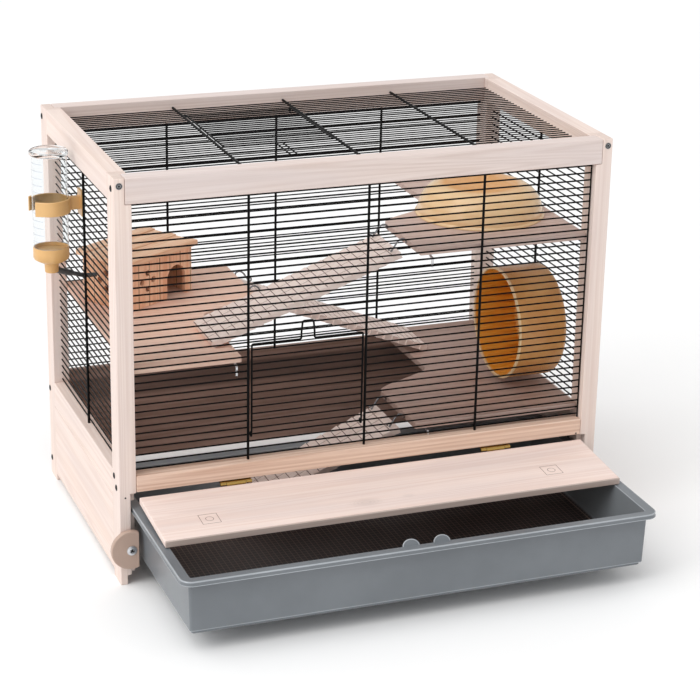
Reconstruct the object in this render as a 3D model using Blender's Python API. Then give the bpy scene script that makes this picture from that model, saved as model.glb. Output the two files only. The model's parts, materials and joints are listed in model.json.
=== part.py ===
# Wooden hamster cage with a pull-out tray, wire doors, shelves, ramps, wheel, house and bottle.
# Sizes are millimetres. X runs to the right from the middle, Y back from the front face, Z up.
import math

import bmesh
import bpy
from mathutils import Matrix, Vector

mm = 0.001
gap = 0.3                     # play between pieces that touch

# cage
cage_width = 600.0
cage_depth = 345.0
cage_height = 485.0
post_x = 20.0
post_y = 30.0
rail_thick = 20.0
top_rail_high = 30.0
lap = 7.6                     # how far the top rails reach over the posts
front_rail_low = 114.0
window_low = 134.0            # top of the lower rails, where the wire begins
side_rail_low = 102.0
side_panel_thick = 12.0
side_panel_low = 9.0
back_panel_thick = 8.0
back_panel_low = 10.0
back_panel_high = 140.0
foot_outer = 8.6
foot_notch_high = 11.4
rebate_deep = 10.0
rebate_high = 113.0

# wire
wire = 2.0
wire_inset = 10.0             # outer face of the wood to the wire
pitch = 8.7
front_ribs = (-144.0, -0.5, 142.0)
roof_ribs = (-139.0, 4.0, 149.0)
front_door_bars = (3, 16)     # hinge bar and top bar of the door opening
roof_door_bars = (12, 30)     # front bar and hinge bar of the door opening
door_side_gap = 4.0
front_hump_high = 20.0
roof_latch_reach = 54.0

# tray
tray_side_gap = 15.0          # from the cage's outer face in to the tray's rim
tray_depth = 328.0
tray_out = 199.5              # how far it stands out of the front face
tray_top = 94.0
tray_rim_thick = 6.0
tray_rim_reach = 10.0
tray_draft = 2.0
tray_base = 25.0
tray_wall = 2.5
tray_corner = 14.0
runner_high = 15.7
slot_play = 1.7
slot_low = 86.0
slot_high = 100.0

# flap and hinges
flap_side_gap = 22.0
flap_long = 107.0
flap_thick = 8.0
hinge_y = -2.6
hinge_z = 111.6
hinge_centres = (-162.0, 165.5)
hinge_long = 38.0
hinge_end_knuckle = 7.0
knuckle_radius = 2.0
bore_radius = 1.05
pin_radius = 0.75
leaf_thick = 0.8
leaf_step = 0.3               # the leaf lies just inside the knuckle's outline
leaf_deep = 16.0

# turn buttons
button_radius = 23.8
button_flat = 8.8
button_thick = 7.0
button_inset = 11.6
button_z = 46.0
button_hole = 2.6
screw_head = 6.0

# shelves
shelf_thick = 8.0
shelf_front_gap = 2.0
shelf_levels = {"shelf_left": 260.0, "shelf_upper": 367.0, "shelf_lower": 150.0}
shelf_front_wide = 213.0
shelf_back_wide = 130.0
shelf_front_deep = 112.0
shelf_curve_deep = 60.0

# ramps
ramp_rest = 23.0              # how far a ramp's foot reaches over the shelf below
ramp_wide = 78.0
ramp_thick = 8.0
ramp_drop = 19.4              # from the shelf's top down to the ramp's upper end
ramp_gap = 9.0
hook_reach = 13.0
hook_wire = 1.0
hook_spread = 30.0

# wheel, house, dome and bottle
wheel_radius = 70.0
wheel_wide = 65.0
wheel_wall = 2.6
wheel_y = 113.0
wheel_z = 228.0
wheel_to_wire = 10.0
stem_radius = 4.0
stem_play = 0.4
house_from_left = 162.0
house_y = 253.0
house_turn = 32.0
house_wide = 112.0
house_deep = 76.0
house_high = 58.0
house_wall = 5.0
roof_over = 6.0
roof_thick = 7.0
arch_wide = 33.0
arch_high = 40.0
arch_from_right = 28.0
holes_from_right = 79.0       # a diamond of four round holes
holes_high = 32.0
hole_step = 10.0
hole_radius = 4.0
dome_radius = 79.0
dome_high = 38.0
dome_top = 46.0
dome_wall = 2.5
dome_from_right = 108.0
dome_y = 130.0
bottle_x = 28.0               # from the cage's left face out to the bottle's middle
bottle_y = 185.0
bottle_radius = 21.0
bottle_end_radius = 22.5
bottle_low = 357.0
bottle_high = 472.0
cap_low = 325.0
ring_low = 398.0
ring_high = 415.0
ring_wall = 3.2
ring_back_end = 157.0
ring_front_end = -142.0
ring_foot_wide = 18.0
spout_radius = 2.6
spout_inside = 14.0

half_width = cage_width / 2
inner_x = half_width - post_x
window_high = cage_height - top_rail_high
wire_x = half_width - wire_inset - wire / 2
wire_y = wire_inset + wire / 2
back_wire_y = cage_depth - wire_y
roof_z = cage_height - wire_inset - wire - wire / 2
tray_width = cage_width - 2 * tray_side_gap
flap_width = cage_width - 2 * flap_side_gap
wide_edge = inner_x - gap - shelf_front_wide
narrow_edge = inner_x - gap - shelf_back_wide
ramp_run = wide_edge + narrow_edge - ramp_gap + ramp_rest

materials = {
    "frame_wood": ((0.80, 0.66, 0.56), 0.65, 0.0),
    "shelf_wood": ((0.74, 0.55, 0.40), 0.65, 0.0),
    "house_wood": ((0.80, 0.50, 0.26), 0.6, 0.0),
    "black_wire": ((0.012, 0.012, 0.012), 0.35, 0.0),
    "tray_plastic": ((0.20, 0.22, 0.235), 0.4, 0.0),
    "orange_plastic": ((0.80, 0.42, 0.08), 0.3, 0.0),
    "beige_plastic": ((0.75, 0.50, 0.24), 0.35, 0.0),
    "button_plastic": ((0.47, 0.33, 0.24), 0.45, 0.0),
    "clear_plastic": ((0.85, 0.88, 0.90), 0.1, 0.0),
    "brass": ((0.72, 0.52, 0.22), 0.3, 1.0),
    "zinc": ((0.62, 0.63, 0.65), 0.35, 1.0),
}


def clear_scene():
    for obj in list(bpy.data.objects):
        bpy.data.objects.remove(obj, do_unlink=True)


def make_materials():
    made = {}
    for name, (colour, roughness, metallic) in materials.items():
        material = bpy.data.materials.new(name)
        material.use_nodes = True
        shader = material.node_tree.nodes["Principled BSDF"]
        shader.inputs["Base Color"].default_value = (*colour, 1.0)
        shader.inputs["Roughness"].default_value = roughness
        shader.inputs["Metallic"].default_value = metallic
        made[name] = material
    return made


def add_empty(name, place, turn_z=0.0, parent=None):
    empty = bpy.data.objects.new(name, None)
    empty.location = Vector(place) * mm
    empty.rotation_euler = (0.0, 0.0, math.radians(turn_z))
    empty.parent = parent
    bpy.context.collection.objects.link(empty)
    return empty


def add_object(name, bm, slot, parent, pivot=(0.0, 0.0, 0.0), smooth=False):
    # The mesh comes in millimetres around the parent's origin; the object's origin goes to pivot.
    bmesh.ops.recalc_face_normals(bm, faces=bm.faces)
    bm.transform(Matrix.Scale(mm, 4) @ Matrix.Translation(-Vector(pivot)))
    mesh = bpy.data.meshes.new(name)
    bm.to_mesh(mesh)
    bm.free()
    if smooth:
        mesh.shade_smooth()
        mesh.set_sharp_from_angle(angle=math.radians(35.0))
    obj = bpy.data.objects.new(name, mesh)
    obj.data.materials.append(made_materials[slot])
    obj.location = Vector(pivot) * mm
    obj.parent = parent
    bpy.context.collection.objects.link(obj)
    return obj


def inside(point, box):
    low, high = box
    return all(low[i] < point[i] < high[i] for i in range(3))


def block_mesh(solids, cuts=()):
    # A closed mesh of boxes added together with other boxes taken away, on one shared grid.
    lines = []
    for axis in range(3):
        values = {corner[axis] for box in list(solids) + list(cuts) for corner in box}
        lines.append(sorted(values))
    filled = set()
    for i in range(len(lines[0]) - 1):
        for j in range(len(lines[1]) - 1):
            for k in range(len(lines[2]) - 1):
                middle = [(lines[a][n] + lines[a][n + 1]) / 2 for a, n in enumerate((i, j, k))]
                if any(inside(middle, box) for box in solids):
                    if not any(inside(middle, box) for box in cuts):
                        filled.add((i, j, k))
    bm = bmesh.new()
    corners = {}

    def corner(key):
        if key not in corners:
            corners[key] = bm.verts.new([lines[a][key[a]] for a in range(3)])
        return corners[key]

    for cell in filled:
        for axis in range(3):
            others = [a for a in range(3) if a != axis]
            for side in (0, 1):
                neighbour = list(cell)
                neighbour[axis] += 1 if side else -1
                if tuple(neighbour) in filled:
                    continue
                ring = []
                for du, dv in ((0, 0), (1, 0), (1, 1), (0, 1)):
                    key = list(cell)
                    key[axis] += side
                    key[others[0]] += du
                    key[others[1]] += dv
                    ring.append(corner(tuple(key)))
                bm.faces.new(ring)
    return bm


def loft_mesh(loops, closed=False):
    # Bridges equal rings of points and caps the ends.
    bm = bmesh.new()
    rings = [[bm.verts.new(point) for point in loop] for loop in loops]
    pairs = list(zip(rings, rings[1:]))
    if closed:
        pairs.append((rings[-1], rings[0]))
    else:
        bm.faces.new(rings[0])
        bm.faces.new(rings[-1])
    for lower, upper in pairs:
        for n in range(len(lower)):
            m = (n + 1) % len(lower)
            bm.faces.new((lower[n], lower[m], upper[m], upper[n]))
    return bm


def turned_mesh(profile, centre, axis="Z", sides=32):
    # Turns (radius, height) points about an axis through centre; radius 0 closes the shape.
    bm = bmesh.new()
    rings = []
    for radius, height in profile:
        if radius == 0.0:
            rings.append([bm.verts.new((0.0, 0.0, height))])
            continue
        ring = []
        for n in range(sides):
            angle = 2 * math.pi * n / sides
            ring.append(bm.verts.new((radius * math.cos(angle), radius * math.sin(angle), height)))
        rings.append(ring)
    pairs = list(zip(rings, rings[1:]))
    if len(rings[0]) > 1:
        pairs.append((rings[-1], rings[0]))
    for lower, upper in pairs:
        for n in range(sides):
            m = (n + 1) % sides
            if len(lower) == 1:
                bm.faces.new((lower[0], upper[m], upper[n]))
            elif len(upper) == 1:
                bm.faces.new((lower[n], lower[m], upper[0]))
            else:
                bm.faces.new((lower[n], lower[m], upper[m], upper[n]))
    turns = {"Z": Matrix.Identity(4),
             "X": Matrix.Rotation(math.radians(90.0), 4, "Y"),
             "Y": Matrix.Rotation(math.radians(-90.0), 4, "X")}
    bm.transform(Matrix.Translation(Vector(centre)) @ turns[axis])
    return bm


def extruded_mesh(outline, low, high, axis="Z"):
    # Extrudes an outline: (x, y) along Z, (x, z) along Y.
    def point(first, second, level):
        return (first, second, level) if axis == "Z" else (first, level, second)

    return loft_mesh([[point(a, b, level) for a, b in outline] for level in (low, high)])


def arc(centre, radius, start, end, steps):
    points = []
    for n in range(steps + 1):
        angle = math.radians(start + (end - start) * n / steps)
        points.append((centre[0] + radius * math.cos(angle), centre[1] + radius * math.sin(angle)))
    return points


def cut_with(target, cutter, operation="DIFFERENCE"):
    cutter.hide_render = True
    cutter.display_type = "WIRE"
    modifier = target.modifiers.new(operation.lower(), "BOOLEAN")
    modifier.operation = operation
    modifier.solver = "EXACT"
    modifier.object = cutter


def mirrored(box):
    (x0, y0, z0), (x1, y1, z1) = box
    return ((-x1, y0, z0), (-x0, y1, z1))


def make_posts():
    for depth_name in ("front", "back"):
        front = depth_name == "front"
        y0 = 0.0 if front else cage_depth - post_y
        lap_y = (y0 - 1.0, rail_thick + gap) if front else (cage_depth - rail_thick - gap, cage_depth + 1.0)
        solid = ((inner_x, y0, 0.0), (half_width, y0 + post_y, cage_height))
        rim_x = tray_width / 2 + slot_play
        cuts = [
            ((inner_x - 1.0, lap_y[0], window_high - gap), (inner_x + lap, lap_y[1], cage_height + 1.0)),
            ((inner_x - 1.0, y0 - 1.0, -1.0), (half_width - foot_outer, y0 + post_y + 1.0, foot_notch_high)),
            ((inner_x - 1.0, y0 - 1.0, slot_low), (rim_x, y0 + post_y + 1.0, slot_high)),
        ]
        if front:
            cuts.append(((inner_x - 1.0, -1.0, -1.0), (rim_x, rebate_deep, rebate_high)))
        for side_name, flip in (("left", True), ("right", False)):
            boxes = [mirrored(box) if flip else box for box in [solid] + cuts]
            bm = block_mesh(boxes[:1], boxes[1:])
            add_object(f"post_{depth_name}_{side_name}", bm, "frame_wood", root)


def make_rails():
    rail_x = inner_x + lap - gap
    between = inner_x - gap
    side_y = (post_y + gap, cage_depth - post_y - gap)
    pieces = {
        "top_rail_front": ((-rail_x, 0.0, window_high), (rail_x, rail_thick, cage_height)),
        "top_rail_back": ((-rail_x, cage_depth - rail_thick, window_high),
                          (rail_x, cage_depth, cage_height)),
        "lower_rail_front": ((-between, 0.0, front_rail_low), (between, rail_thick, window_low)),
        "back_panel": ((-between, cage_depth - back_panel_thick, back_panel_low),
                       (between, cage_depth, back_panel_high)),
    }
    runner_x = half_width - side_panel_thick - gap
    runner_top = tray_top - tray_rim_thick - gap
    side_pieces = {
        "top_rail": ((inner_x, side_y[0], window_high), (half_width, side_y[1], cage_height)),
        "lower_rail": ((inner_x, side_y[0], side_rail_low), (half_width, side_y[1], window_low)),
        "side_panel": ((half_width - side_panel_thick, side_y[0], side_panel_low),
                       (half_width, side_y[1], side_rail_low - gap)),
        "tray_runner": ((tray_width / 2 - tray_rim_reach + 2.0, side_y[0], runner_top - runner_high),
                        (runner_x, side_y[1], runner_top)),
    }
    for name, box in side_pieces.items():
        pieces[f"{name}_right"] = box
        pieces[f"{name}_left"] = mirrored(box)
    for name, box in pieces.items():
        add_object(name, block_mesh([box]), "frame_wood", root)


def bar_places(low, high):
    # Middle of each bar between two rails, at the pitch, with equal gaps at the ends.
    count = round((high - low) / pitch)
    first = (low + high - (count - 1) * pitch) / 2
    return [first + n * pitch for n in range(count)]


def bar(low, high, middle):
    # A square bar along the one axis where low and high differ.
    half = wire / 2
    return (tuple(a if a != b else c - half for a, b, c in zip(low, high, middle)),
            tuple(b if a != b else c + half for a, b, c in zip(low, high, middle)))


def flat_bar(axis, start, end, middle):
    low = list(middle)
    high = list(middle)
    low[axis] = start
    high[axis] = end
    return bar(tuple(low), tuple(high), tuple(middle))


front_bars = bar_places(window_low, window_high)
roof_bars = bar_places(rail_thick, cage_depth - rail_thick)


def open_bars(axis, places, ends, opening, opening_sides, middle_of):
    # Bars along X, broken between the opening's sides where they cross it.
    solids = []
    for n, place in enumerate(places):
        middle = middle_of(place)
        if opening and opening[0] < n < opening[1]:
            solids.append(flat_bar(axis, ends[0], opening_sides[0], middle))
            solids.append(flat_bar(axis, opening_sides[1], ends[1], middle))
        else:
            solids.append(flat_bar(axis, ends[0], ends[1], middle))
    return solids


def make_grilles():
    span_x = inner_x - gap
    span_z = (window_low + gap, window_high - gap)
    solids = open_bars(0, front_bars, (-span_x, span_x), front_door_bars, front_ribs[:2],
                       lambda z: (0.0, wire_y, z))
    solids += [flat_bar(2, *span_z, (x, wire_y, 0.0)) for x in front_ribs]
    add_object("front_grille", block_mesh(solids), "black_wire", root)

    back_bars = [z for z in front_bars if z - wire > back_panel_high]
    solids = open_bars(0, back_bars, (-span_x, span_x), None, None, lambda z: (0.0, back_wire_y, z))
    back_span = (back_panel_high + gap, span_z[1])
    solids += [flat_bar(2, *back_span, (x, back_wire_y, 0.0)) for x in front_ribs]
    add_object("back_grille", block_mesh(solids), "black_wire", root)

    side_span = (post_y + gap, cage_depth - post_y - gap)
    for side_name, x in (("left", -wire_x), ("right", wire_x)):
        solids = [flat_bar(1, *side_span, (x, 0.0, z)) for z in front_bars]
        solids.append(flat_bar(2, *span_z, (x, cage_depth / 2, 0.0)))
        add_object(f"{side_name}_grille", block_mesh(solids), "black_wire", root)

    solids = open_bars(0, roof_bars, (-span_x, span_x), roof_door_bars, roof_ribs[:2],
                       lambda y: (0.0, y, roof_z))
    roof_span = (rail_thick + gap, cage_depth - rail_thick - gap)
    solids += [flat_bar(1, *roof_span, (x, 0.0, roof_z)) for x in roof_ribs]
    add_object("roof_grille", block_mesh(solids), "black_wire", root)


def make_front_door():
    # The door lies just in front of the grille and hangs on the opening's bottom bar.
    y = wire_y - wire - 0.6
    low = front_bars[front_door_bars[0]] + 4.0
    high = front_bars[front_door_bars[1]] - wire
    left = front_ribs[0] + door_side_gap
    right = front_ribs[1] - door_side_gap
    hump = (left + right) / 2
    solids = [flat_bar(0, left - wire / 2, right + wire / 2, (0.0, y, z))
              for z in front_bars[front_door_bars[0] + 1:front_door_bars[1]]]
    solids.append(flat_bar(0, left - wire / 2, right + wire / 2, (0.0, y, high + wire)))
    solids += [flat_bar(2, low, high + wire * 1.5, (x, y, 0.0)) for x in (left, right)]
    top = high + wire + front_hump_high
    solids += [flat_bar(2, high + wire, top, (hump + side * 6.5, y, 0.0)) for side in (-1, 1)]
    solids.append(flat_bar(0, hump - 7.5, hump + 7.5, (0.0, y, top)))
    pivot = (hump, wire_y, front_bars[front_door_bars[0]])
    add_object("front_door", block_mesh(solids), "black_wire", root, pivot)


def make_roof_door():
    z = roof_z + wire + 0.6
    front = roof_bars[roof_door_bars[0]] + wire
    back = roof_bars[roof_door_bars[1]] - 4.0
    left = roof_ribs[0] + door_side_gap
    right = roof_ribs[1] - door_side_gap
    latch = (left + right) / 2
    solids = [flat_bar(0, left - wire / 2, right + wire / 2, (0.0, y, z))
              for y in roof_bars[roof_door_bars[0] + 1:roof_door_bars[1]]]
    solids.append(flat_bar(0, left - wire / 2, right + wire / 2, (0.0, front - wire, z)))
    solids += [flat_bar(1, front - wire * 1.5, back, (x, 0.0, z)) for x in (left, right)]
    reach = front - wire - roof_latch_reach
    solids += [flat_bar(1, reach, front - wire, (latch + side * 4.0, 0.0, z)) for side in (-1, 1)]
    solids.append(flat_bar(0, latch - 5.0, latch + 5.0, (0.0, reach, z)))
    pivot = (latch, roof_bars[roof_door_bars[1]], roof_z)
    add_object("roof_door", block_mesh(solids), "black_wire", root, pivot)


def rounded_loop(half_x, y0, y1, radius, z):
    points = []
    corners = ((half_x - radius, y0 + radius, -90.0), (half_x - radius, y1 - radius, 0.0),
               (radius - half_x, y1 - radius, 90.0), (radius - half_x, y0 + radius, 180.0))
    for centre_x, centre_y, start in corners:
        points += [(x, y, z) for x, y in arc((centre_x, centre_y), radius, start, start + 90.0, 4)]
    return points


def make_tray():
    front = -tray_out
    back = tray_depth - tray_out
    rim_low = tray_top - tray_rim_thick

    def ring(inset, z):
        radius = max(tray_corner - inset, 4.0)
        return rounded_loop(tray_width / 2 - inset, front + inset, back - inset, radius, z)

    body = tray_rim_reach
    inner = body + tray_wall
    loops = [ring(body + tray_draft, tray_base), ring(body, rim_low),
             ring(0.0, rim_low), ring(0.0, tray_top),
             ring(inner - 1.0, tray_top), ring(inner, tray_top - 1.0),
             ring(inner + tray_draft, tray_base + tray_wall)]
    add_object("tray", loft_mesh(loops), "tray_plastic", root, (0.0, front, rim_low), True)


def make_flap():
    # Modelled level, then lowered about the hinge until its front edge rests on the tray's rim.
    pivot = (0.0, hinge_y, hinge_z)
    top = hinge_z - 1.6
    back = hinge_y - knuckle_radius - 0.4
    box = ((-flap_width / 2, back - flap_long, top - flap_thick), (flap_width / 2, back, top))
    reach = flap_long + hinge_y - back
    fall = top - flap_thick - tray_top - gap
    tilt = math.asin(fall / reach)
    flap = add_object("flap", block_mesh([box]), "frame_wood", root, pivot)
    flap.rotation_euler = (tilt, 0.0, 0.0)
    for side_name, x in zip(("left", "right"), hinge_centres):
        make_hinge(side_name, x, tilt)


def make_hinge(side_name, x, tilt):
    half = hinge_long / 2
    inner = half - hinge_end_knuckle
    leaf_z = hinge_z + knuckle_radius - leaf_thick - leaf_step
    back = hinge_y + knuckle_radius
    solids = [((x - half, back + gap, leaf_z), (x + half, leaf_deep, leaf_z + leaf_thick))]
    for start, end in ((x - half, x - inner - gap), (x + inner, x + half - gap)):
        solids.append(((start, hinge_y + leaf_thick, leaf_z), (end, back + gap, leaf_z + leaf_thick)))
    rail_leaf = add_object(f"hinge_{side_name}_rail_leaf", block_mesh(solids), "brass", root)
    for n, start in enumerate((x - half, x + inner)):
        add_knuckle(rail_leaf, f"{side_name}_{n}", start, start + hinge_end_knuckle - gap, None)

    leaf_y = hinge_y - knuckle_radius + leaf_step
    low = hinge_z - 11.0
    shoulder = hinge_z - knuckle_radius - gap
    solids = [((x - half, leaf_y, low), (x + half, leaf_y + leaf_thick, shoulder)),
              ((x - inner + gap, leaf_y, shoulder),
                (x + inner - 2 * gap, leaf_y + leaf_thick, hinge_z - leaf_thick))]
    pivot = (0.0, hinge_y, hinge_z)
    flap_leaf = add_object(f"hinge_{side_name}_flap_leaf", block_mesh(solids), "brass", root, pivot)
    flap_leaf.rotation_euler = (tilt, 0.0, 0.0)
    add_knuckle(flap_leaf, f"{side_name}_2", x - inner + gap, x + inner - 2 * gap, pivot)

    pin = [(0.0, -half - 0.5), (pin_radius, -half - 0.5), (pin_radius, half + 0.5), (0.0, half + 0.5)]
    bm = turned_mesh(pin, (x, hinge_y, hinge_z), "X", 12)
    add_object(f"hinge_{side_name}_pin", bm, "brass", root, smooth=True)


def add_knuckle(leaf, name, start, end, pivot):
    # A barrel with its bore, joined to the leaf's tongue.
    low = start - 0.1
    high = end + 0.1
    profile = [(bore_radius, low), (knuckle_radius, low), (knuckle_radius, high), (bore_radius, high)]
    bm = turned_mesh(profile, (0.0, hinge_y, hinge_z), "X", 12)
    barrel = add_object(f"cutter_knuckle_{name}", bm, "brass", root, pivot or (0.0, 0.0, 0.0))
    barrel.rotation_euler = leaf.rotation_euler
    cut_with(leaf, barrel, "UNION")


def make_turn_buttons():
    corner = math.degrees(math.acos(button_flat / button_radius))
    for side_name, side in (("left", -1.0), ("right", 1.0)):
        centre = (side * (half_width - button_inset), button_z)
        facing = 0.0 if side < 0 else 180.0
        outline = arc(centre, button_radius, facing + corner, facing + 360.0 - corner, 20)
        pivot = (centre[0], 0.0, centre[1])
        bm = extruded_mesh(outline, -button_thick - gap, -gap, "Y")
        button = add_object(f"turn_button_{side_name}", bm, "button_plastic", root, pivot)
        hole = [(0.0, -2.0), (button_hole, -2.0),
                (button_hole, button_thick + 2.0), (0.0, button_thick + 2.0)]
        bm = turned_mesh(hole, (centre[0], -button_thick - 1.0, centre[1]), "Y", 16)
        cut_with(button, add_object(f"cutter_button_{side_name}", bm, "zinc", root, pivot))
        head = button_thick + 2 * gap
        stem = button_hole - 0.5
        profile = [(0.0, gap), (stem, gap), (stem, head), (screw_head, head), (screw_head - 1.0, head + 1.8),
                   (0.0, head + 1.8)]
        profile = [(radius, -height) for radius, height in profile]
        bm = turned_mesh(profile, (centre[0], 0.0, centre[1]), "Y", 16)
        add_object(f"button_screw_{side_name}", bm, "zinc", root, smooth=True)


def shelf_outline(turned):
    # Wide in front, narrow behind, with an S-curve between; the left shelf is the same board turned round.
    front = wire_inset + wire + shelf_front_gap
    back = back_wire_y - wire / 2 - 0.5
    right = inner_x - gap
    bend = front + shelf_front_deep
    radius = shelf_curve_deep / 2
    run = narrow_edge - wide_edge
    points = [(right, front), (right, back), (narrow_edge, back)]
    steps = 10
    for n in range(steps + 1):
        t = 1.0 - n / steps
        ease = t * t * (3.0 - 2.0 * t)
        points.append((wide_edge + run * ease, bend + 2 * radius * t))
    points.append((wide_edge, front))
    if turned:
        points = [(-x, front + back - y) for x, y in points]
    return points


def make_shelves():
    for name, top in shelf_levels.items():
        outline = shelf_outline(name == "shelf_left")
        add_object(name, extruded_mesh(outline, top - shelf_thick, top), "shelf_wood", root)


def make_ramp(name, edge, lean, low_level, high_level, y0):
    # lean is -1 for a ramp that goes down to the left of the edge, 1 to the right.
    low = low_level + gap
    rise = high_level - ramp_drop - low
    slope = math.atan2(rise, ramp_run)
    ramp_long = math.hypot(rise, ramp_run)
    end_x = edge + lean * ramp_gap
    foot_x = end_x + lean * ramp_run
    along = Vector((-lean * math.cos(slope), math.sin(slope)))
    across = Vector((lean * math.sin(slope), math.cos(slope)))
    foot = Vector((foot_x, low))
    head = foot + along * ramp_long
    outline = [tuple(p) for p in (foot, head, head + across * ramp_thick, foot + across * ramp_thick)]
    pivot = (edge - lean * hook_reach, 0.0, high_level + gap + hook_wire)
    bm = extruded_mesh(outline, y0, y0 + ramp_wide, "Y")
    add_object(name, bm, "shelf_wood", root, pivot)
    lift = hook_wire + gap
    start = head + across * (ramp_thick + lift) - along * 12.0
    crest = high_level + 5.0
    points = [start, head + across * (ramp_thick + lift) - along * 3.0,
              Vector((end_x - lean * 3.0, crest)), Vector((edge - lean * 8.0, crest)),
              Vector((pivot[0], high_level + lift))]
    for n, side in enumerate((-1, 1)):
        y = y0 + ramp_wide / 2 + side * hook_spread
        make_tube(f"{name}_hook_{n + 1}", [(p[0], y, p[1]) for p in points], hook_wire, "zinc", pivot)


def make_tube(name, points, radius, slot, pivot=(0.0, 0.0, 0.0)):
    curve = bpy.data.curves.new(name, "CURVE")
    curve.dimensions = "3D"
    curve.bevel_depth = radius * mm
    curve.bevel_resolution = 2
    curve.use_fill_caps = True
    spline = curve.splines.new("POLY")
    spline.points.add(len(points) - 1)
    for knot, point in zip(spline.points, points):
        knot.co = (*((Vector(point) - Vector(pivot)) * mm), 1.0)
    curve.materials.append(made_materials[slot])
    obj = bpy.data.objects.new(name, curve)
    obj.location = Vector(pivot) * mm
    obj.parent = root
    bpy.context.collection.objects.link(obj)


def make_ramps():
    tray_floor = tray_base + tray_wall
    make_ramp("ramp_upper", wide_edge, -1, shelf_levels["shelf_left"], shelf_levels["shelf_upper"], 46.0)
    make_ramp("ramp_middle", -wide_edge, 1, shelf_levels["shelf_lower"], shelf_levels["shelf_left"], 235.0)
    make_ramp("ramp_lower", wide_edge, -1, tray_floor, shelf_levels["shelf_lower"], 36.0)


def make_wheel():
    back = wire_x - wire / 2 - wheel_to_wire
    front = back - wheel_wide
    pivot = (back, wheel_y, wheel_z)
    bore = stem_radius + stem_play
    hub = bore + 4.0
    hub_long = 9.0
    outer = wheel_radius
    inner = wheel_radius - wheel_wall
    profile = [(bore, 0.0), (outer - 8.0, 0.0), (outer - 2.5, -2.5), (outer, -8.0), (outer, -wheel_wide),
               (inner, -wheel_wide), (inner, -9.0), (inner - 6.0, -wheel_wall), (hub, -wheel_wall),
               (hub, -hub_long), (bore, -hub_long)]
    bm = turned_mesh(profile, pivot, "X", 40)
    add_object("wheel", bm, "orange_plastic", root, pivot, True)
    plate = wheel_to_wire - gap
    head = hub_long + gap
    profile = [(0.0, plate), (18.0, plate), (18.0, plate - 3.5), (9.0, gap), (stem_radius, gap),
               (stem_radius, -head), (7.0, -head), (6.0, -head - 4.0), (0.0, -head - 4.0)]
    add_object("wheel_bracket", turned_mesh(profile, pivot, "X", 24), "beige_plastic", root, smooth=True)


def make_house():
    level = shelf_levels["shelf_left"] + gap
    base = add_empty("house_place", (house_from_left - half_width, house_y, level), house_turn, root)
    top = house_high
    t = house_wall
    walls = {
        "house_front": ((-house_wide, 0.0, 0.0), (0.0, t, top)),
        "house_back": ((-house_wide, house_deep - t, 0.0), (0.0, house_deep, top)),
        "house_left": ((-house_wide, t + gap, 0.0), (t - house_wide, house_deep - t - gap, top)),
        "house_right": ((-t, t + gap, 0.0), (0.0, house_deep - t - gap, top)),
        "house_roof": ((-house_wide - roof_over, -roof_over, top + gap),
                       (roof_over, house_deep + roof_over, top + gap + roof_thick)),
    }
    made = {name: add_object(name, block_mesh([box]), "house_wood", base) for name, box in walls.items()}
    radius = arch_wide / 2
    arch_x = -arch_from_right
    outline = [(arch_x + radius, -2.0)]
    outline += arc((arch_x, arch_high - radius), radius, 0.0, 180.0, 12) + [(arch_x - radius, -2.0)]
    arch = add_object("cutter_arch", extruded_mesh(outline, -3.0, t + 3.0, "Y"), "house_wood", base)
    cut_with(made["house_front"], arch)
    for n, (dx, dz) in enumerate(((-hole_step, 0.0), (hole_step, 0.0), (0.0, hole_step), (0.0, -hole_step))):
        hole = [(0.0, -3.0), (hole_radius, -3.0), (hole_radius, t + 3.0), (0.0, t + 3.0)]
        bm = turned_mesh(hole, (-holes_from_right + dx, 0.0, holes_high + dz), "Y", 12)
        cut_with(made["house_front"], add_object(f"cutter_front_{n}", bm, "house_wood", base))
        bm = turned_mesh(hole, (-house_wide, house_deep / 2 + dx, holes_high + dz), "X", 12)
        cut_with(made["house_left"], add_object(f"cutter_left_{n}", bm, "house_wood", base))


def make_dome():
    level = shelf_levels["shelf_upper"] + gap
    rise = dome_radius - dome_top
    profile = []
    for wall in (0.0, dome_wall):
        shell = [(dome_radius - wall, 0.0)]
        for n in range(1, 7):
            angle = math.radians(15.0 * n)
            shell.append((dome_top + (rise - wall) * math.cos(angle), (dome_high - wall) * math.sin(angle)))
        shell.append((0.0, dome_high - wall))
        profile.append(shell)
    outer, inner = profile
    loop = outer[::-1] + inner
    centre = (half_width - dome_from_right, dome_y, level)
    add_object("dome", turned_mesh(loop, centre, "Z", 40), "orange_plastic", root, centre, True)


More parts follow.
